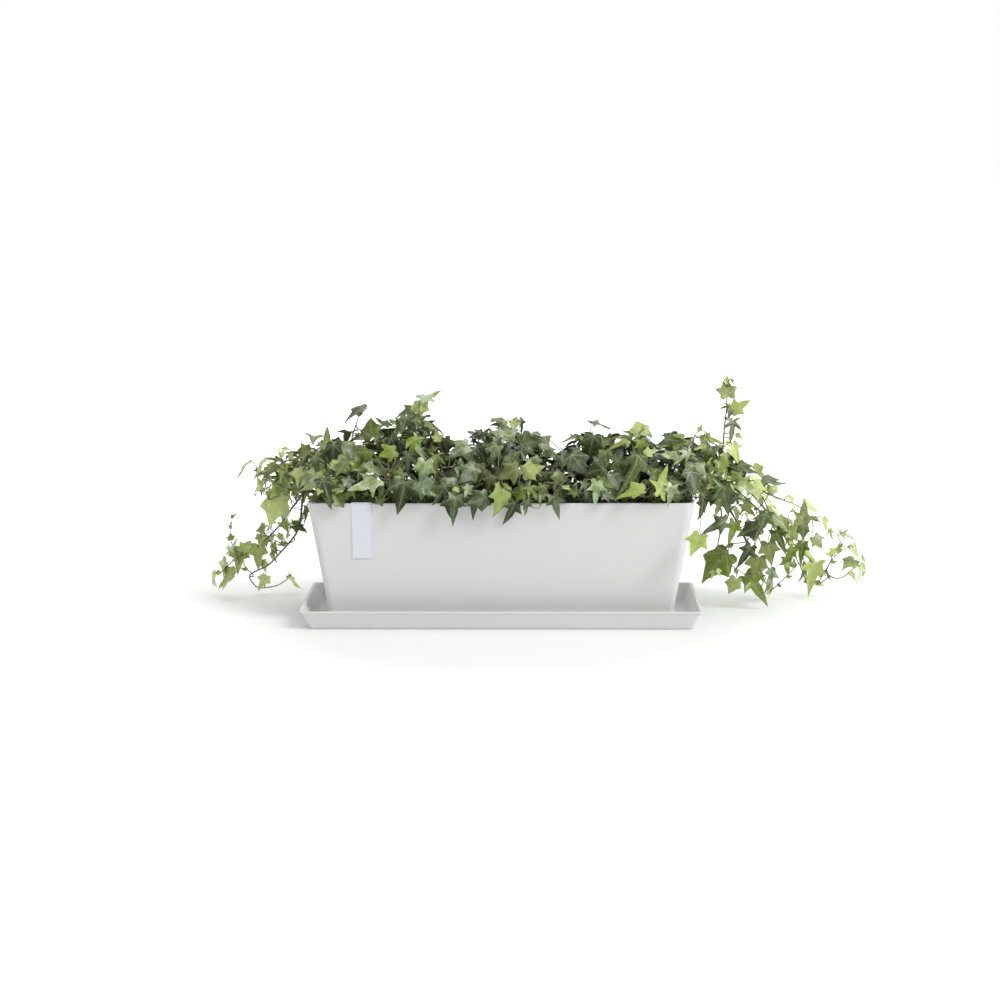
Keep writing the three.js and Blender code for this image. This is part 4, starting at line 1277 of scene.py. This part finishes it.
MIDDLE_LEAVES = [
    (5, 0, 274, 33, 90, "front", "silver"),
    (-10, -20, 243, 32, 240, "front", "silver"),
    (42, 0, 257, 33, 20, "front", "dark"),
    (20, 10, 285, 19, 80, "front", "light"),
    (30, 10, 280, 22, 300, "right", "silver"),
    (-8, 5, 293, 19, 150, "up", "mid"),
    (-37, 0, 267, 22, 200, "front", "silver"),
    (-25, 5, 272, 19, 60, "front", "dark"),
    (-60, -10, 249, 29, 200, "front", "silver"),
    (-31, -15, 244, 26, 300, "front", "dark"),
    (21, -20, 235, 26, 320, "front", "dark"),
    (65, 0, 241, 14, 200, "front", "dark"),
    (119, 0, 263, 26, 170, "front", "dark"),
    (130, -5, 254, 33, 250, "front", "dark"),
    (153, 0, 262, 24, 30, "front", "dark"),
    (173, -5, 259, 33, 185, "level", "mid"),
    (200, 0, 279, 26, 110, "front", "light"),
    (211, 5, 272, 22, 330, "right", "silver"),
    (186, 0, 272, 19, 170, "front", "light"),
    (202, -10, 250, 26, 280, "front", "mid"),
    (217, -10, 244, 21, 20, "front", "light"),
    (193, -60, 229, 47, 270, "right", "mid"),
    (109, -50, 236, 33, 300, "front", "silver"),
    (82, -40, 233, 28, 200, "front", "silver"),
    (249, 0, 261, 36, 185, "up", "mid"),
    (240, -30, 241, 38, 190, "up", "silver"),
    (273, -20, 239, 29, 340, "front", "dark"),
    (273, -70, 214, 33, 290, "front", "silver"),
    (135, -95, 201, 31, 270, "front", "silver"),
    (186, -80, 198, 42, 190, "up", "light"),
    (228, -60, 207, 40, 80, "right", "light"),
    (242, -75, 195, 26, 250, "front", "silver"),
    (78, -95, 184, 30, 290, "front", "dark"),
    (2, -98, 192, 37, 265, "right", "light"),
    (46, -60, 227, 28, 20, "front", "light"),
    (13, -60, 222, 33, 210, "front", "light"),
    (48, -78, 198, 30, 320, "front", "mid"),
    (80, -50, 210, 23, 250, "front", "light"),
    (-64, -98, 180, 35, 270, "front", "dark"),
    (-46, -50, 220, 31, 220, "front", "silver"),
    (137, -30, 222, 26, 200, "front", "dark"),
    (150, -10, 238, 21, 270, "front", "dark"),
    (168, -40, 226, 28, 290, "front", "dark"),
    (-17, -70, 209, 28, 250, "front", "mid"),
    (-85, -85, 197, 32, 240, "front", "dark"),
    (-82, 0, 254, 22, 280, "front", "dark"),
    (154, -75, 191, 21, 0, "front", "silver"),
]
RIGHT_LEAVES = [
    (327, 15, 334, 28, 90, "front", "light"),
    (346, 18, 308, 32, 30, "front", "light"),
    (326, 12, 307, 14, 200, "front", "mid"),
    (330, 10, 297, 14, 250, "front", "silver"),
    (334, 5, 277, 30, 270, "front", "silver"),
    (344, 5, 265, 11, 320, "front", "light"),
    (306, -10, 264, 33, 10, "up", "mid"),
    (289, -20, 253, 21, 190, "up", "light"),
    (297, -30, 242, 28, 240, "front", "dark"),
    (340, 0, 245, 26, 310, "front", "light"),
    (318, -20, 226, 24, 300, "front", "mid"),
    (355, -10, 217, 33, 320, "up", "dark"),
    (394, 0, 197, 36, 330, "up", "dark"),
    (320, -60, 187, 43, 285, "front", "dark"),
    (352, -40, 199, 35, 340, "front", "silver"),
    (275, -60, 220, 30, 270, "front", "silver"),
    (249, 0, 261, 29, 350, "front", "dark"),
    (259, -30, 241, 31, 200, "up", "silver"),
    (285, -60, 171, 28, 260, "right", "dark"),
    (308, -40, 142, 38, 195, "front", "silver"),
    (274, -110, 131, 30, 235, "front", "light"),
    (314, 0, 78, 48, 215, "front", "mid"),
    (375, 30, 39, 44, 310, "front", "mid"),
    (342, 20, 41, 24, 250, "front", "light"),
    (359, 10, 91, 31, 240, "front", "dark"),
    (336, -10, 130, 31, 250, "front", "mid"),
    (362, -10, 131, 31, 200, "front", "silver"),
    (401, 10, 146, 34, 20, "up", "mid"),
    (444, 20, 148, 39, 70, "front", "light"),
    (382, 0, 138, 36, 250, "front", "mid"),
    (409, 20, 112, 29, 290, "front", "mid"),
    (426, 30, 85, 27, 240, "front", "mid"),
    (465, 60, 50, 44, 250, "front", "light"),
    (491, 50, 84, 17, 200, "front", "light"),
    (514, 60, 109, 22, 0, "up", "silver"),
    (530, 60, 78, 30, 300, "right", "silver"),
    (519, 60, 68, 20, 200, "up", "silver"),
    (540, 80, 46, 27, 285, "right", "silver"),
    (488, 40, 114, 15, 290, "front", "mid"),
    (446, 30, 122, 19, 270, "front", "mid"),
    (469, 40, 103, 22, 300, "front", "silver"),
    (445, 40, 89, 27, 250, "front", "mid"),
    (395, 20, 94, 27, 270, "front", "light"),
    (376, 20, 72, 29, 250, "front", "light"),
    (311, -50, 172, 23, 260, "front", "mid"),
    (357, -20, 161, 26, 300, "front", "mid"),
    (315, -20, 97, 26, 185, "up", "mid"),
    (333, -40, 211, 26, 200, "front", "mid"),
    (369, -20, 191, 24, 290, "front", "light"),
    (424, 50, 63, 27, 265, "front", "mid"),
    (401, 40, 50, 29, 285, "right", "silver"),
]

TONES = dict(dark=(0.06, 0.15), mid=(0.42, 0.15), light=(0.86, 0.1), silver=(0.34, 0.95))
GROWN_LIGHT = 0.68  # the tone of a light leaf that is nearly full-grown
EYE = CAMERA.matrix_world.translation / MM
FROM_VIEW = CAMERA.matrix_world.to_3x3()  # turns a way given as right, up and towards the camera
FACINGS = dict(front=(0.0, 0.3, 0.95), up=(0.0, 0.8, 0.6), level=(0.0, 0.95, 0.3),
               left=(-0.72, 0.3, 0.62), right=(0.72, 0.3, 0.62))


def shape_for(young, length):
    if young and length < 26:
        return dice.choice((YOUNG_LEAF, YOUNG_LEAF, ROUND_LEAF, BUD if length < 15 else YOUNG_LEAF))
    if young:
        return dice.choice((BROAD_LEAF, BROAD_CURLED, LONG_LEAF, LONG_RAISED, ROUND_LEAF, YOUNG_LEAF))
    return dice.choice((BROAD_LEAF, BROAD_CURLED, LONG_LEAF, LONG_LEAF, LONG_RAISED, STAR_LEAF, ROUND_LEAF))


# The crown of leaves over the pot: how high it stands along the pot, and how far it reaches

CROWN = [(-330, 225), (-300, 246), (-277, 262), (-213, 257), (-198, 272), (-167, 287), (-126, 306),
         (-101, 300), (-92, 268), (-60, 253), (-30, 272), (-5, 286), (31, 280), (56, 262), (75, 238),
         (87, 242), (109, 266), (142, 272), (178, 265), (203, 278), (223, 262), (279, 266), (320, 262),
         (350, 236)]
CROWN_FOOT = RIM - 4
CROWN_DEPTH = 104
NARROW_FROM, NARROW_BY, NARROW = 40, 90, 0.55  # higher places of the crown are narrower, down to this share


def crown_height(x):
    for (x0, z0), (x1, z1) in zip(CROWN, CROWN[1:]):
        if x <= x1:
            return mix(z0, z1, max(0.0, (x - x0) / (x1 - x0)))
    return CROWN[-1][1]


def crown_reach(x, a):
    """How far the crown reaches from the pot's middle, from 0 at its top to its foot at the rim."""
    rise = crown_height(x) - CROWN_FOOT
    flat = mix(1.0, NARROW, clamped((rise - NARROW_FROM) / NARROW_BY))
    return CROWN_DEPTH * mix(1.0, flat, math.sin(a) ** 2) * math.cos(a)


FRONT_SLOPE, BACK_SLOPE = 0.75, 1.4  # the back falls off sooner than the front
UNDER_CROWN, FRONT_ROW, UNDER_MORE = 4, -95, 0.15  # leaves of the rows farther back lie deeper under it


def at_crown(place, sight):
    """The same place on the picture, but a little under the crown's front; places off the crown stay."""
    if abs(place.x) > POT["length"] / 2 + 5:
        return place
    under = UNDER_CROWN + UNDER_MORE * (place.y - FRONT_ROW)
    for _ in range(3):
        share = (place.z - CROWN_FOOT) / (crown_height(place.x) - CROWN_FOOT)
        if not 0 < share < 1:
            break
        a = math.asin(share ** (1 / FRONT_SLOPE))
        place = place + sight * ((under - crown_reach(place.x, a) - place.y) / sight.y)
    return place


TRIES = 26
DEEPER = 2.2  # by how much more each second try moves a leaf back or forth
LEFT_END = -380  # left of this leaves turn less at random
LOOSE_AT_LEFT, LOOSE, LOOSER = 0.1, 0.3, 0.02  # how far they turn, and how much more with each try


def picture_leaf(x, y, z, length, degrees, facing, kind):
    """One leaf from the lists above, moved a little along the line of sight until it has room."""
    right, up, near = FACINGS[facing]
    here = Vector((x, y, z))
    sight = (EYE - here).normalized()
    far = clamped(max((-x - 270) / 60, (x - 420) / 80))  # leaves are lighter at the ends
    tone, silver = TONES[kind]
    if kind == "light" and length > 28:
        tone = GROWN_LIGHT
    tone = mix(tone, 0.95, 0.5 * far)
    for trial in range(TRIES):
        loose = (LOOSE_AT_LEFT if x < LEFT_END else LOOSE) + LOOSER * trial
        face = Vector((right + around(loose), up + around(loose), near)).normalized()
        a = math.radians(degrees + around(8))
        tip = Vector((math.cos(a), math.sin(a), 0))
        tip.z = -max(-0.85, min(0.85, (tip.x * face.x + tip.y * face.y) / face.z))
        size = length * min(tip.length, 1.2)
        tip = (FROM_VIEW @ tip).normalized()
        face = FROM_VIEW @ face
        deep = ((trial + 1) // 2) * DEEPER * (1 if trial % 2 else -1)
        middle = at_crown(here, sight) + sight * deep + Vector((around(1), 0, around(1)))
        leaf = dict(base=middle - tip * size * BLADE_MIDDLE, tip=tip, face=face, length=size,
                    tone=tone + around(0.08), silver=silver + around(0.1),
                    shade=mix(dice.random(), 1, 0.5 * far),
                    shape=shape_for(kind == "light", length), seen=True)
        if try_leaf(leaf):
            vine, stem = nearest_stem(leaf["base"])
            keep(leaf, vine, stem, (leaf["base"] - stem).normalized())
            return


for row in LEFT_LEAVES + MIDDLE_LEAVES + RIGHT_LEAVES:
    picture_leaf(*row)
seen_leaves = list(kept_leaves)
for o in seen_leaves:
    o["spot"] = Vector(on_picture(o["middle"] * MM))


BLADE_REACH = 0.33  # how far a blade hides what is behind it, in shares of its length


def hides_a_seen_leaf(leaf):
    """Whether it would stand in front of a leaf from the lists."""
    spot = Vector(on_picture(leaf["middle"] * MM))
    apart = BLADE_REACH * leaf["length"]
    return any(
        leaf["middle"].y < o["middle"].y
        and (o["spot"] - spot).length < 0.85 * (apart + BLADE_REACH * o["length"])
        for o in seen_leaves
    )


# Where leaves begin to be light, to the left, to the right and upwards, and over what distance
LIGHT_LEFT, LIGHT_RIGHT, LIGHT_HIGH = (150, 120), (270, 90), (275, 25)
INSIDE, FADE = 90, 50  # nearer to the planting's heart than this leaves are darker, an older, darker green and painted shade, and over what distance


def coloring(place, trailing=False):
    """Young leaves are light and sit at the ends; old ones, some of them silvery, fill the middle, and those
    deep inside get painted shade.
    """
    ways = (-place.x, LIGHT_LEFT), (place.x, LIGHT_RIGHT), (place.z, LIGHT_HIGH)
    light = clamped(max((there - first) / over for there, (first, over) in ways))
    if trailing:
        light = 1.05
    inner = clamped((INSIDE - (place - heart(place)).length) / FADE)
    tone = clamped(dice.gauss(0.12 + 0.68 * light, 0.2)) * (1 - 0.9 * inner)
    frosted = 0.16 if place.x < -110 else 0.5 - 0.3 * light
    silver = dice.uniform(0.4, 1.0) if dice.random() < frosted else dice.uniform(0, 0.25)
    # painted shade: leaves near the planting's heart are darkened
    shade = dice.random() * (1 - inner)
    return tone, silver * (1 - inner), mix(shade, 1, 0.5) if trailing else shade


def free_leaf(name, here, base, outwards, tip, face, size, trailing):
    tone, silver, shade = coloring(base, trailing)
    leaf = dict(base=base, tip=(tip - tip.project(face)).normalized(), face=face, length=size, tone=tone,
                silver=silver, shade=shade, shape=shape_for(tone > 0.6, size))
    if try_leaf(leaf) and not hides_a_seen_leaf(leaf):
        keep(leaf, name, here, outwards)
        return True
    return False


def packed_leaves(name):
    """The leaves of a packed vine. Each is a thin lens: the two places in its middle, above and below, share
    the ring of places round its edge, of which the tip is the farthest."""
    work = bmesh.new()
    work.from_mesh(frame["nodes"][name].data)
    bmesh.ops.remove_doubles(work, verts=work.verts, dist=0.00002)
    rings = {v: {e.other_vert(v) for e in v.link_edges} for v in work.verts if len(v.link_edges) >= 8}
    middles = sorted(rings, key=lambda v: tuple(v.co))
    found = []
    for number, one in enumerate(middles):
        for other in middles[number + 1:]:
            shared = rings[one] & rings[other]
            if len(shared) < 6:
                continue
            middle = (one.co + other.co) / 2 / MM
            tip = max((v.co / MM for v in shared), key=lambda place: (place - middle).length)
            face = (one.co - other.co).normalized()
            if face.dot((middle - heart(middle)).normalized() + Vector((0, -0.2, 0.5))) < 0:
                face = -face
            found.append((middle, tip, face))
    work.free()
    return found


PACKED_HEART = 0.3  # where a packed leaf's middle is, in shares of its length
trailing_vines = [name for name in VINES if "trailing" in name or "shoot" in name]
for name in VINES:
    for middle, tip, face in packed_leaves(name):
        way = (tip - middle).normalized()
        length = (tip - middle).length / (1 - PACKED_HEART)
        base = middle - way * PACKED_HEART * length
        k = min(range(2, len(VINES[name])), key=lambda i: (VINES[name][i] - base).length_squared)
        here = VINES[name][k]
        for trial in range(6):
            size = length * (0.95 - 0.07 * trial)
            turned = (face + scatter(0.1, 0.1, 0.1) * trial).normalized()
            outwards = (base - here).normalized()
            if free_leaf(name, here, base, outwards, way, turned, size, name in trailing_vines):
                break


def crown_place(x, turn):
    """A place on the crown: turn goes from 0 at the front rim over the top to 1 at the back rim."""
    a = math.pi * turn
    slope = FRONT_SLOPE if turn < 0.5 else BACK_SLOPE
    rise = crown_height(x) - CROWN_FOOT
    place = Vector((x, -crown_reach(x, a), CROWN_FOOT + rise * math.sin(a) ** slope))
    way = Vector((0, -math.cos(a) * 0.9, math.sin(a) + 0.12)).normalized()
    return place, way


LOOK_FROM = 60  # outside the crown


def is_bare(place, way, deep=34):
    """Whether a look from outside, down to this depth under the crown, meets no leaf."""
    start = place + way * LOOK_FROM
    for o in kept_leaves:
        if (o["middle"] - place).length < 75 and o["tree"].ray_cast(start, -way, LOOK_FROM + deep)[0]:
            return False
    return True


CROWN_LEAVES = (26, 38)  # lengths


def close_crown(x_step, turns, last_turn, deep):
    for row in range(turns):
        x = CROWN[0][0] + around(x_step / 2)
        while x < CROWN[-1][0]:
            place, way = crown_place(x, last_turn * (row + 0.5 + around(0.45)) / turns)
            x += x_step * dice.uniform(0.7, 1.3)
            if not is_bare(place, way, deep):
                continue
            for trial in range(10):
                more = 0.5 + 0.05 * trial
                aside = scatter(more, more, more)
                face = (way + Vector((0, -0.15, 0.25)) + aside).normalized()
                tip = Vector((around(1.2), -0.3 * way.y, dice.gauss(-0.4, 0.5))) + aside * 0.5
                base = place - way * dice.uniform(0, deep)
                name, here = nearest_stem(base)
                outwards = (base - here).normalized()
                size = dice.uniform(*CROWN_LEAVES) * (1 - 0.035 * trial)
                if free_leaf(name, here, base, outwards, tip, face, size, False):
                    break


for deep in (12, 30):
    close_crown(19, 15, 1, deep)


def shows_through(way):
    """Whether nothing stands in this line of sight."""
    for o in kept_leaves:
        side = (o["middle"] - EYE).cross(way).length
        if side < o["length"] and o["tree"].ray_cast(EYE, way)[0]:
            return False
    return True


PAINTED_GAP_SHADE, DULLER, LESS_SILVER = 0.4, 0.6, 0.5  # shares for leaves in the dark between the others: painted shade, a duller tone and less silver


def close_gaps(step, margin, smallest, largest, plane=0, depths=(-35, 70), top=400):
    """Puts leaves behind the gaps that a look from the front finds in the bed, below the crown's top, and
    darkens them with painted shade.
    """
    x = CROWN[0][0]
    while x < CROWN[-1][0]:
        z = RIM + 3
        while z < min(top, crown_height(x) - margin):
            spot = Vector((x + around(step / 3), plane, z + around(step / 3)))
            way = (spot - EYE).normalized()
            z += step
            if not shows_through(way):
                continue
            for trial in range(12):
                base = spot + way * dice.uniform(*depths)
                face = Vector((around(0.6), -1, 0.3 + around(0.6))).normalized()
                tip = Vector((around(1.0), 0, around(1.0)))
                name, here = nearest_stem(base)
                size = dice.uniform(smallest, largest) * (1 - 0.04 * trial)
                base = base - tip.normalized() * size * BLADE_MIDDLE
                if free_leaf(name, here, base, (base - here).normalized(), tip, face, size, False):
                    leaf = kept_leaves[-1]
                    # painted shade: the leaves seen through the gaps are darkened
                    leaf["shade"] *= PAINTED_GAP_SHADE
                    leaf["tone"] *= DULLER
                    leaf["silver"] *= LESS_SILVER
                    break
        x += step


close_gaps(9, 22, 26, 38)
close_gaps(7, 14, 24, 34)
close_gaps(5, 12, 16, 26)
for smallest in (16, 11):
    close_gaps(6, 20, smallest, smallest + 10, 6 - POT["depth"] / 2, (0, 40), RIM + 28)


def grow_twig(vine, path):
    for spot in range(TWIG_JOINTS, len(path) - 1, TWIG_JOINTS):
        run = (path[spot + 1] - path[spot - 1]).normalized()
        tip = (run + scatter(1.0, 0.4, 1.0)).normalized()
        face = Vector((around(0.6), -0.8, 0.5 + around(0.5))).normalized()
        size = dice.uniform(8, 15)
        free_leaf(vine, path[spot], path[spot] + tip * 3, tip, tip, face, size, True)
    return dict(vine=vine, path=path, shade=dice.random())


TWIG_RUNS = [grow_twig(vine, path) for vine, path in TWIG_PATHS]


# Buds at the stems' ends

for name, path in VINES.items():
    run = (path[-1] - path[-3]).normalized()
    for k in range(3):
        tip = (run + scatter(0.5, 0.5, 0.5)).normalized()
        face = (Vector((0, -0.5, 0.8)) + scatter(0.5, 0.5, 0.3)).normalized()
        leaf = dict(base=path[-1 - k] + tip * 2.5, tip=tip, face=face, length=dice.uniform(9, 15), tone=0.95,
                    silver=0.1, shade=dice.random(), shape=BUD)
        if try_leaf(leaf, strict=k > 0):
            keep(leaf, name, path[-1 - k], tip)


# Leaves, stalks and stems as meshes

def leaves_tree():
    """Puts a leaf shape on each point, turned and sized as the point says, and makes the leaves real."""
    tree, given, out = geometry_tree("leaves_on_points", [
        ("Shapes", "Collection", None), ("Stems", "Object", None), ("Leaf Material", "Material", None)])
    shapes = made(tree, "GeometryNodeCollectionInfo", collection=given["Shapes"], separate_children=True,
                  reset_children=True)
    leaves = made(tree, "GeometryNodeInstanceOnPoints", points=given["Geometry"], instance=shapes,
                  pick_instance=True, instance_index=named(tree, "leaf_shape", "INT"),
                  rotation=named(tree, "turn", "QUATERNION"), scale=named(tree, "size", "FLOAT"))
    return send_out(tree, leaves, given["Leaf Material"], out)


def stems_tree():
    """Turns the edges into round stems, as thick as their points say."""
    tree, given, out = geometry_tree("stems_on_edges", [
        ("Sides", "Int", 7), ("Stem Material", "Material", None)])
    curve = made(tree, "GeometryNodeMeshToCurve", mesh=given["Geometry"])
    ring = made(tree, "GeometryNodeCurvePrimitiveCircle", resolution=given["Sides"], radius=1.0)
    tube = made(tree, "GeometryNodeCurveToMesh", curve=curve, profile_curve=ring,
                scale=named(tree, "thick", "FLOAT"), fill_caps=True)
    return send_out(tree, tube, given["Stem Material"], out)


LEAVES_TREE = leaves_tree()
STEMS_TREE = stems_tree()


def point_object(name, places, edges, values):
    """Points, or points and edges, with a value of each kind for each."""
    mesh = bpy.data.meshes.new(name)
    mesh.from_pydata([p * MM for p in places], edges, [])
    for label, (kind, data) in values.items():
        slot = mesh.attributes.new(label, kind, "POINT")
        slot.data.foreach_set("value", data)
    return add_object(name, mesh)


STEM_THICK, TWIG_THICK, STALK_THICK = (1.9, 0.75), (0.85, 0.5), (0.75, 0.5)  # radius at each end


def make_vine(name, path):
    leaves = [o for o in kept_leaves if o["vine"] == name]
    turns = [leaf_frame(o["tip"], o["face"]).to_quaternion() for o in leaves]
    points = point_object(name + "_points", [o["base"] for o in leaves], [], {
        "turn": ("QUATERNION", [c for q in turns for c in q]),
        "size": ("FLOAT", [o["length"] * MM for o in leaves]),
        "leaf_shape": ("INT", [o["shape"] for o in leaves]),
        **{look: ("FLOAT", [o[look] for o in leaves]) for look in ("tone", "silver", "shade")},
    })
    grow_with(points, LEAVES_TREE, shapes=LEAF_FOLDER, leaf_material=LEAF)
    blades = settle(points, name + "_blades")

    places, edges, thick, fresh, shade = [], [], [], [], []

    def line(run, radius, freshness, shading):
        begin = len(places)
        for k, p in enumerate(run):
            t = k / (len(run) - 1)
            places.append(p)
            thick.append(mix(*radius, t) * MM)
            fresh.append(mix(*freshness, t))
            shade.append(shading)
            if k:
                edges.append((begin + k - 1, begin + k))

    line(path, STEM_THICK, (0.0, 0.7), 0.3)
    for twig in TWIG_RUNS:
        if twig["vine"] == name:
            line(twig["path"], TWIG_THICK, (0.2, 1.0), twig["shade"])
    for leaf in leaves:
        line(leaf["stalk"], STALK_THICK, (0.8, 1.0), leaf["shade"])
    lines = point_object(name + "_lines", places, edges, {
        "thick": ("FLOAT", thick), "fresh": ("FLOAT", fresh), "shade": ("FLOAT", shade)})
    grow_with(lines, STEMS_TREE, stem_material=BARK)
    stems = settle(lines, name + "_stems")
    shade_smooth(stems.data)
    return [blades, stems]


VINE_PIECES = {name: make_vine(name, path) for name, path in VINES.items()}
for obj in list(LEAF_FOLDER.objects):
    bpy.data.objects.remove(obj)


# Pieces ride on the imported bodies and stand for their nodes

def stands_for(piece, body, material_slot, *nodes):
    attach(piece, body)
    if nodes:
        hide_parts(*nodes)


stands_for(SAUCER_PIECE, "saucer", "planter_plastic", "saucer")
stands_for(POT_PIECE, "pot", "planter_plastic", "pot_shell")
stands_for(TAG_PIECE, "pot", "tag_film", "label_tag")
stands_for(SOIL_PIECE, "planting", "potting_soil", "potting_soil")
for name, parts in VINE_PIECES.items():
    for piece in parts:
        stands_for(piece, "planting", "ivy", name)


# Stage: a white table that reaches far back, a white sky, and soft light from both sides, more from the right

def make_stage():
    floor = bpy.data.meshes.new("table")
    corners = ((-40, -8), (40, -8), (40, 70), (-40, 70))
    floor.from_pydata([(x, y, TABLE_TOP) for x, y in corners], [], [(0, 1, 2, 3)])
    material, tree, shader, place = new_material("paper_table", srgb(250, 250, 250))
    grain = use(tree, GRAIN, place=place, scale=900.0, coarse_share=0.3, strength=0.03, distance=0.0002)
    feed(tree, shader, base_color=TABLE, roughness=0.8, normal=grain["Normal"])
    # Away from the planter the camera sees plain white, so the table has no far edge.
    away = put(tree, "ShaderNodeVectorMath", {"operation": "LENGTH"}, {0: place}).outputs["Value"]
    seen = put(tree, "ShaderNodeLightPath").outputs["Is Camera Ray"]
    share = times(tree, seen, spread(tree, away, 0.3, 0.9))
    feed(tree, shader, emission_color=(1, 1, 1, 1), emission_strength=times(tree, share, 0.5))
    floor.materials.append(material)
    return add_object("table", floor)


def add_light(name, kind, way, energy):
    """A light that comes from this way."""
    data = bpy.data.lights.new(name, kind)
    data.energy = energy
    obj = add_object(name, data)
    obj.rotation_euler = (-Vector(way)).to_track_quat("-Z", "Y").to_euler()
    return obj


def soft_sun(name, way, wide, strength):
    """Even soft light that comes from one way."""
    add_light(name, "SUN", way, strength).data.angle = math.radians(wide)


def softbox(name, place, target, size, power):
    obj = add_light(name, "AREA", Vector(place) - Vector(target), power)
    obj.data.shape, obj.data.size = "DISK", size
    obj.location = place


def make_sky(walls, ceiling, backdrop):
    """A white studio: dim walls, a lighter ceiling and a lit backdrop. The camera sees it plain white."""
    world = bpy.data.worlds.new("sky")
    bpy.context.scene.world = world
    world.use_nodes = True
    tree = world.node_tree
    tree.nodes.clear()
    path = put(tree, "ShaderNodeLightPath").outputs
    way = put(tree, "ShaderNodeTexCoord").outputs["Generated"]
    split = split_up(tree, way)
    strength = plus(tree, spread(tree, split["Z"], 0.0, 1.0, walls, ceiling),
                    spread(tree, split["Y"], 0.1, 0.9, 0.0, backdrop))
    light, white = (
        made(tree, "ShaderNodeBackground", color=(1, 1, 1, 1), strength=power) for power in (strength, 1.0))
    mixed = put(tree, "ShaderNodeMixShader", None, {0: path["Is Camera Ray"], 1: light, 2: white})
    put(tree, "ShaderNodeOutputWorld", None, {"Surface": mixed.outputs[0]})


TABLE = srgb(246, 246, 246)
TABLE_TOP = -0.0003
STAGE = make_stage()
make_sky(0.05, 0.4, 1.1)
soft_sun("window_light", (0.7, -0.55, 0.75), 20, 1.35)
soft_sun("fill_light", (-0.8, -0.45, 0.6), 36, 0.32)
soft_sun("top_light", (0.05, -0.1, 1), 40, 0.7)
soft_sun("right_wall", (1, -0.05, 0.5), 60, 0.2)
soft_sun("front_light", (0.05, -1, 0.4), 44, 0.08)
softbox("right_softbox", (1.3, -0.8, 0.7), (0.3, 0, 0.12), 0.9, 3)

scene = bpy.context.scene
scene.view_settings.view_transform = "Standard"
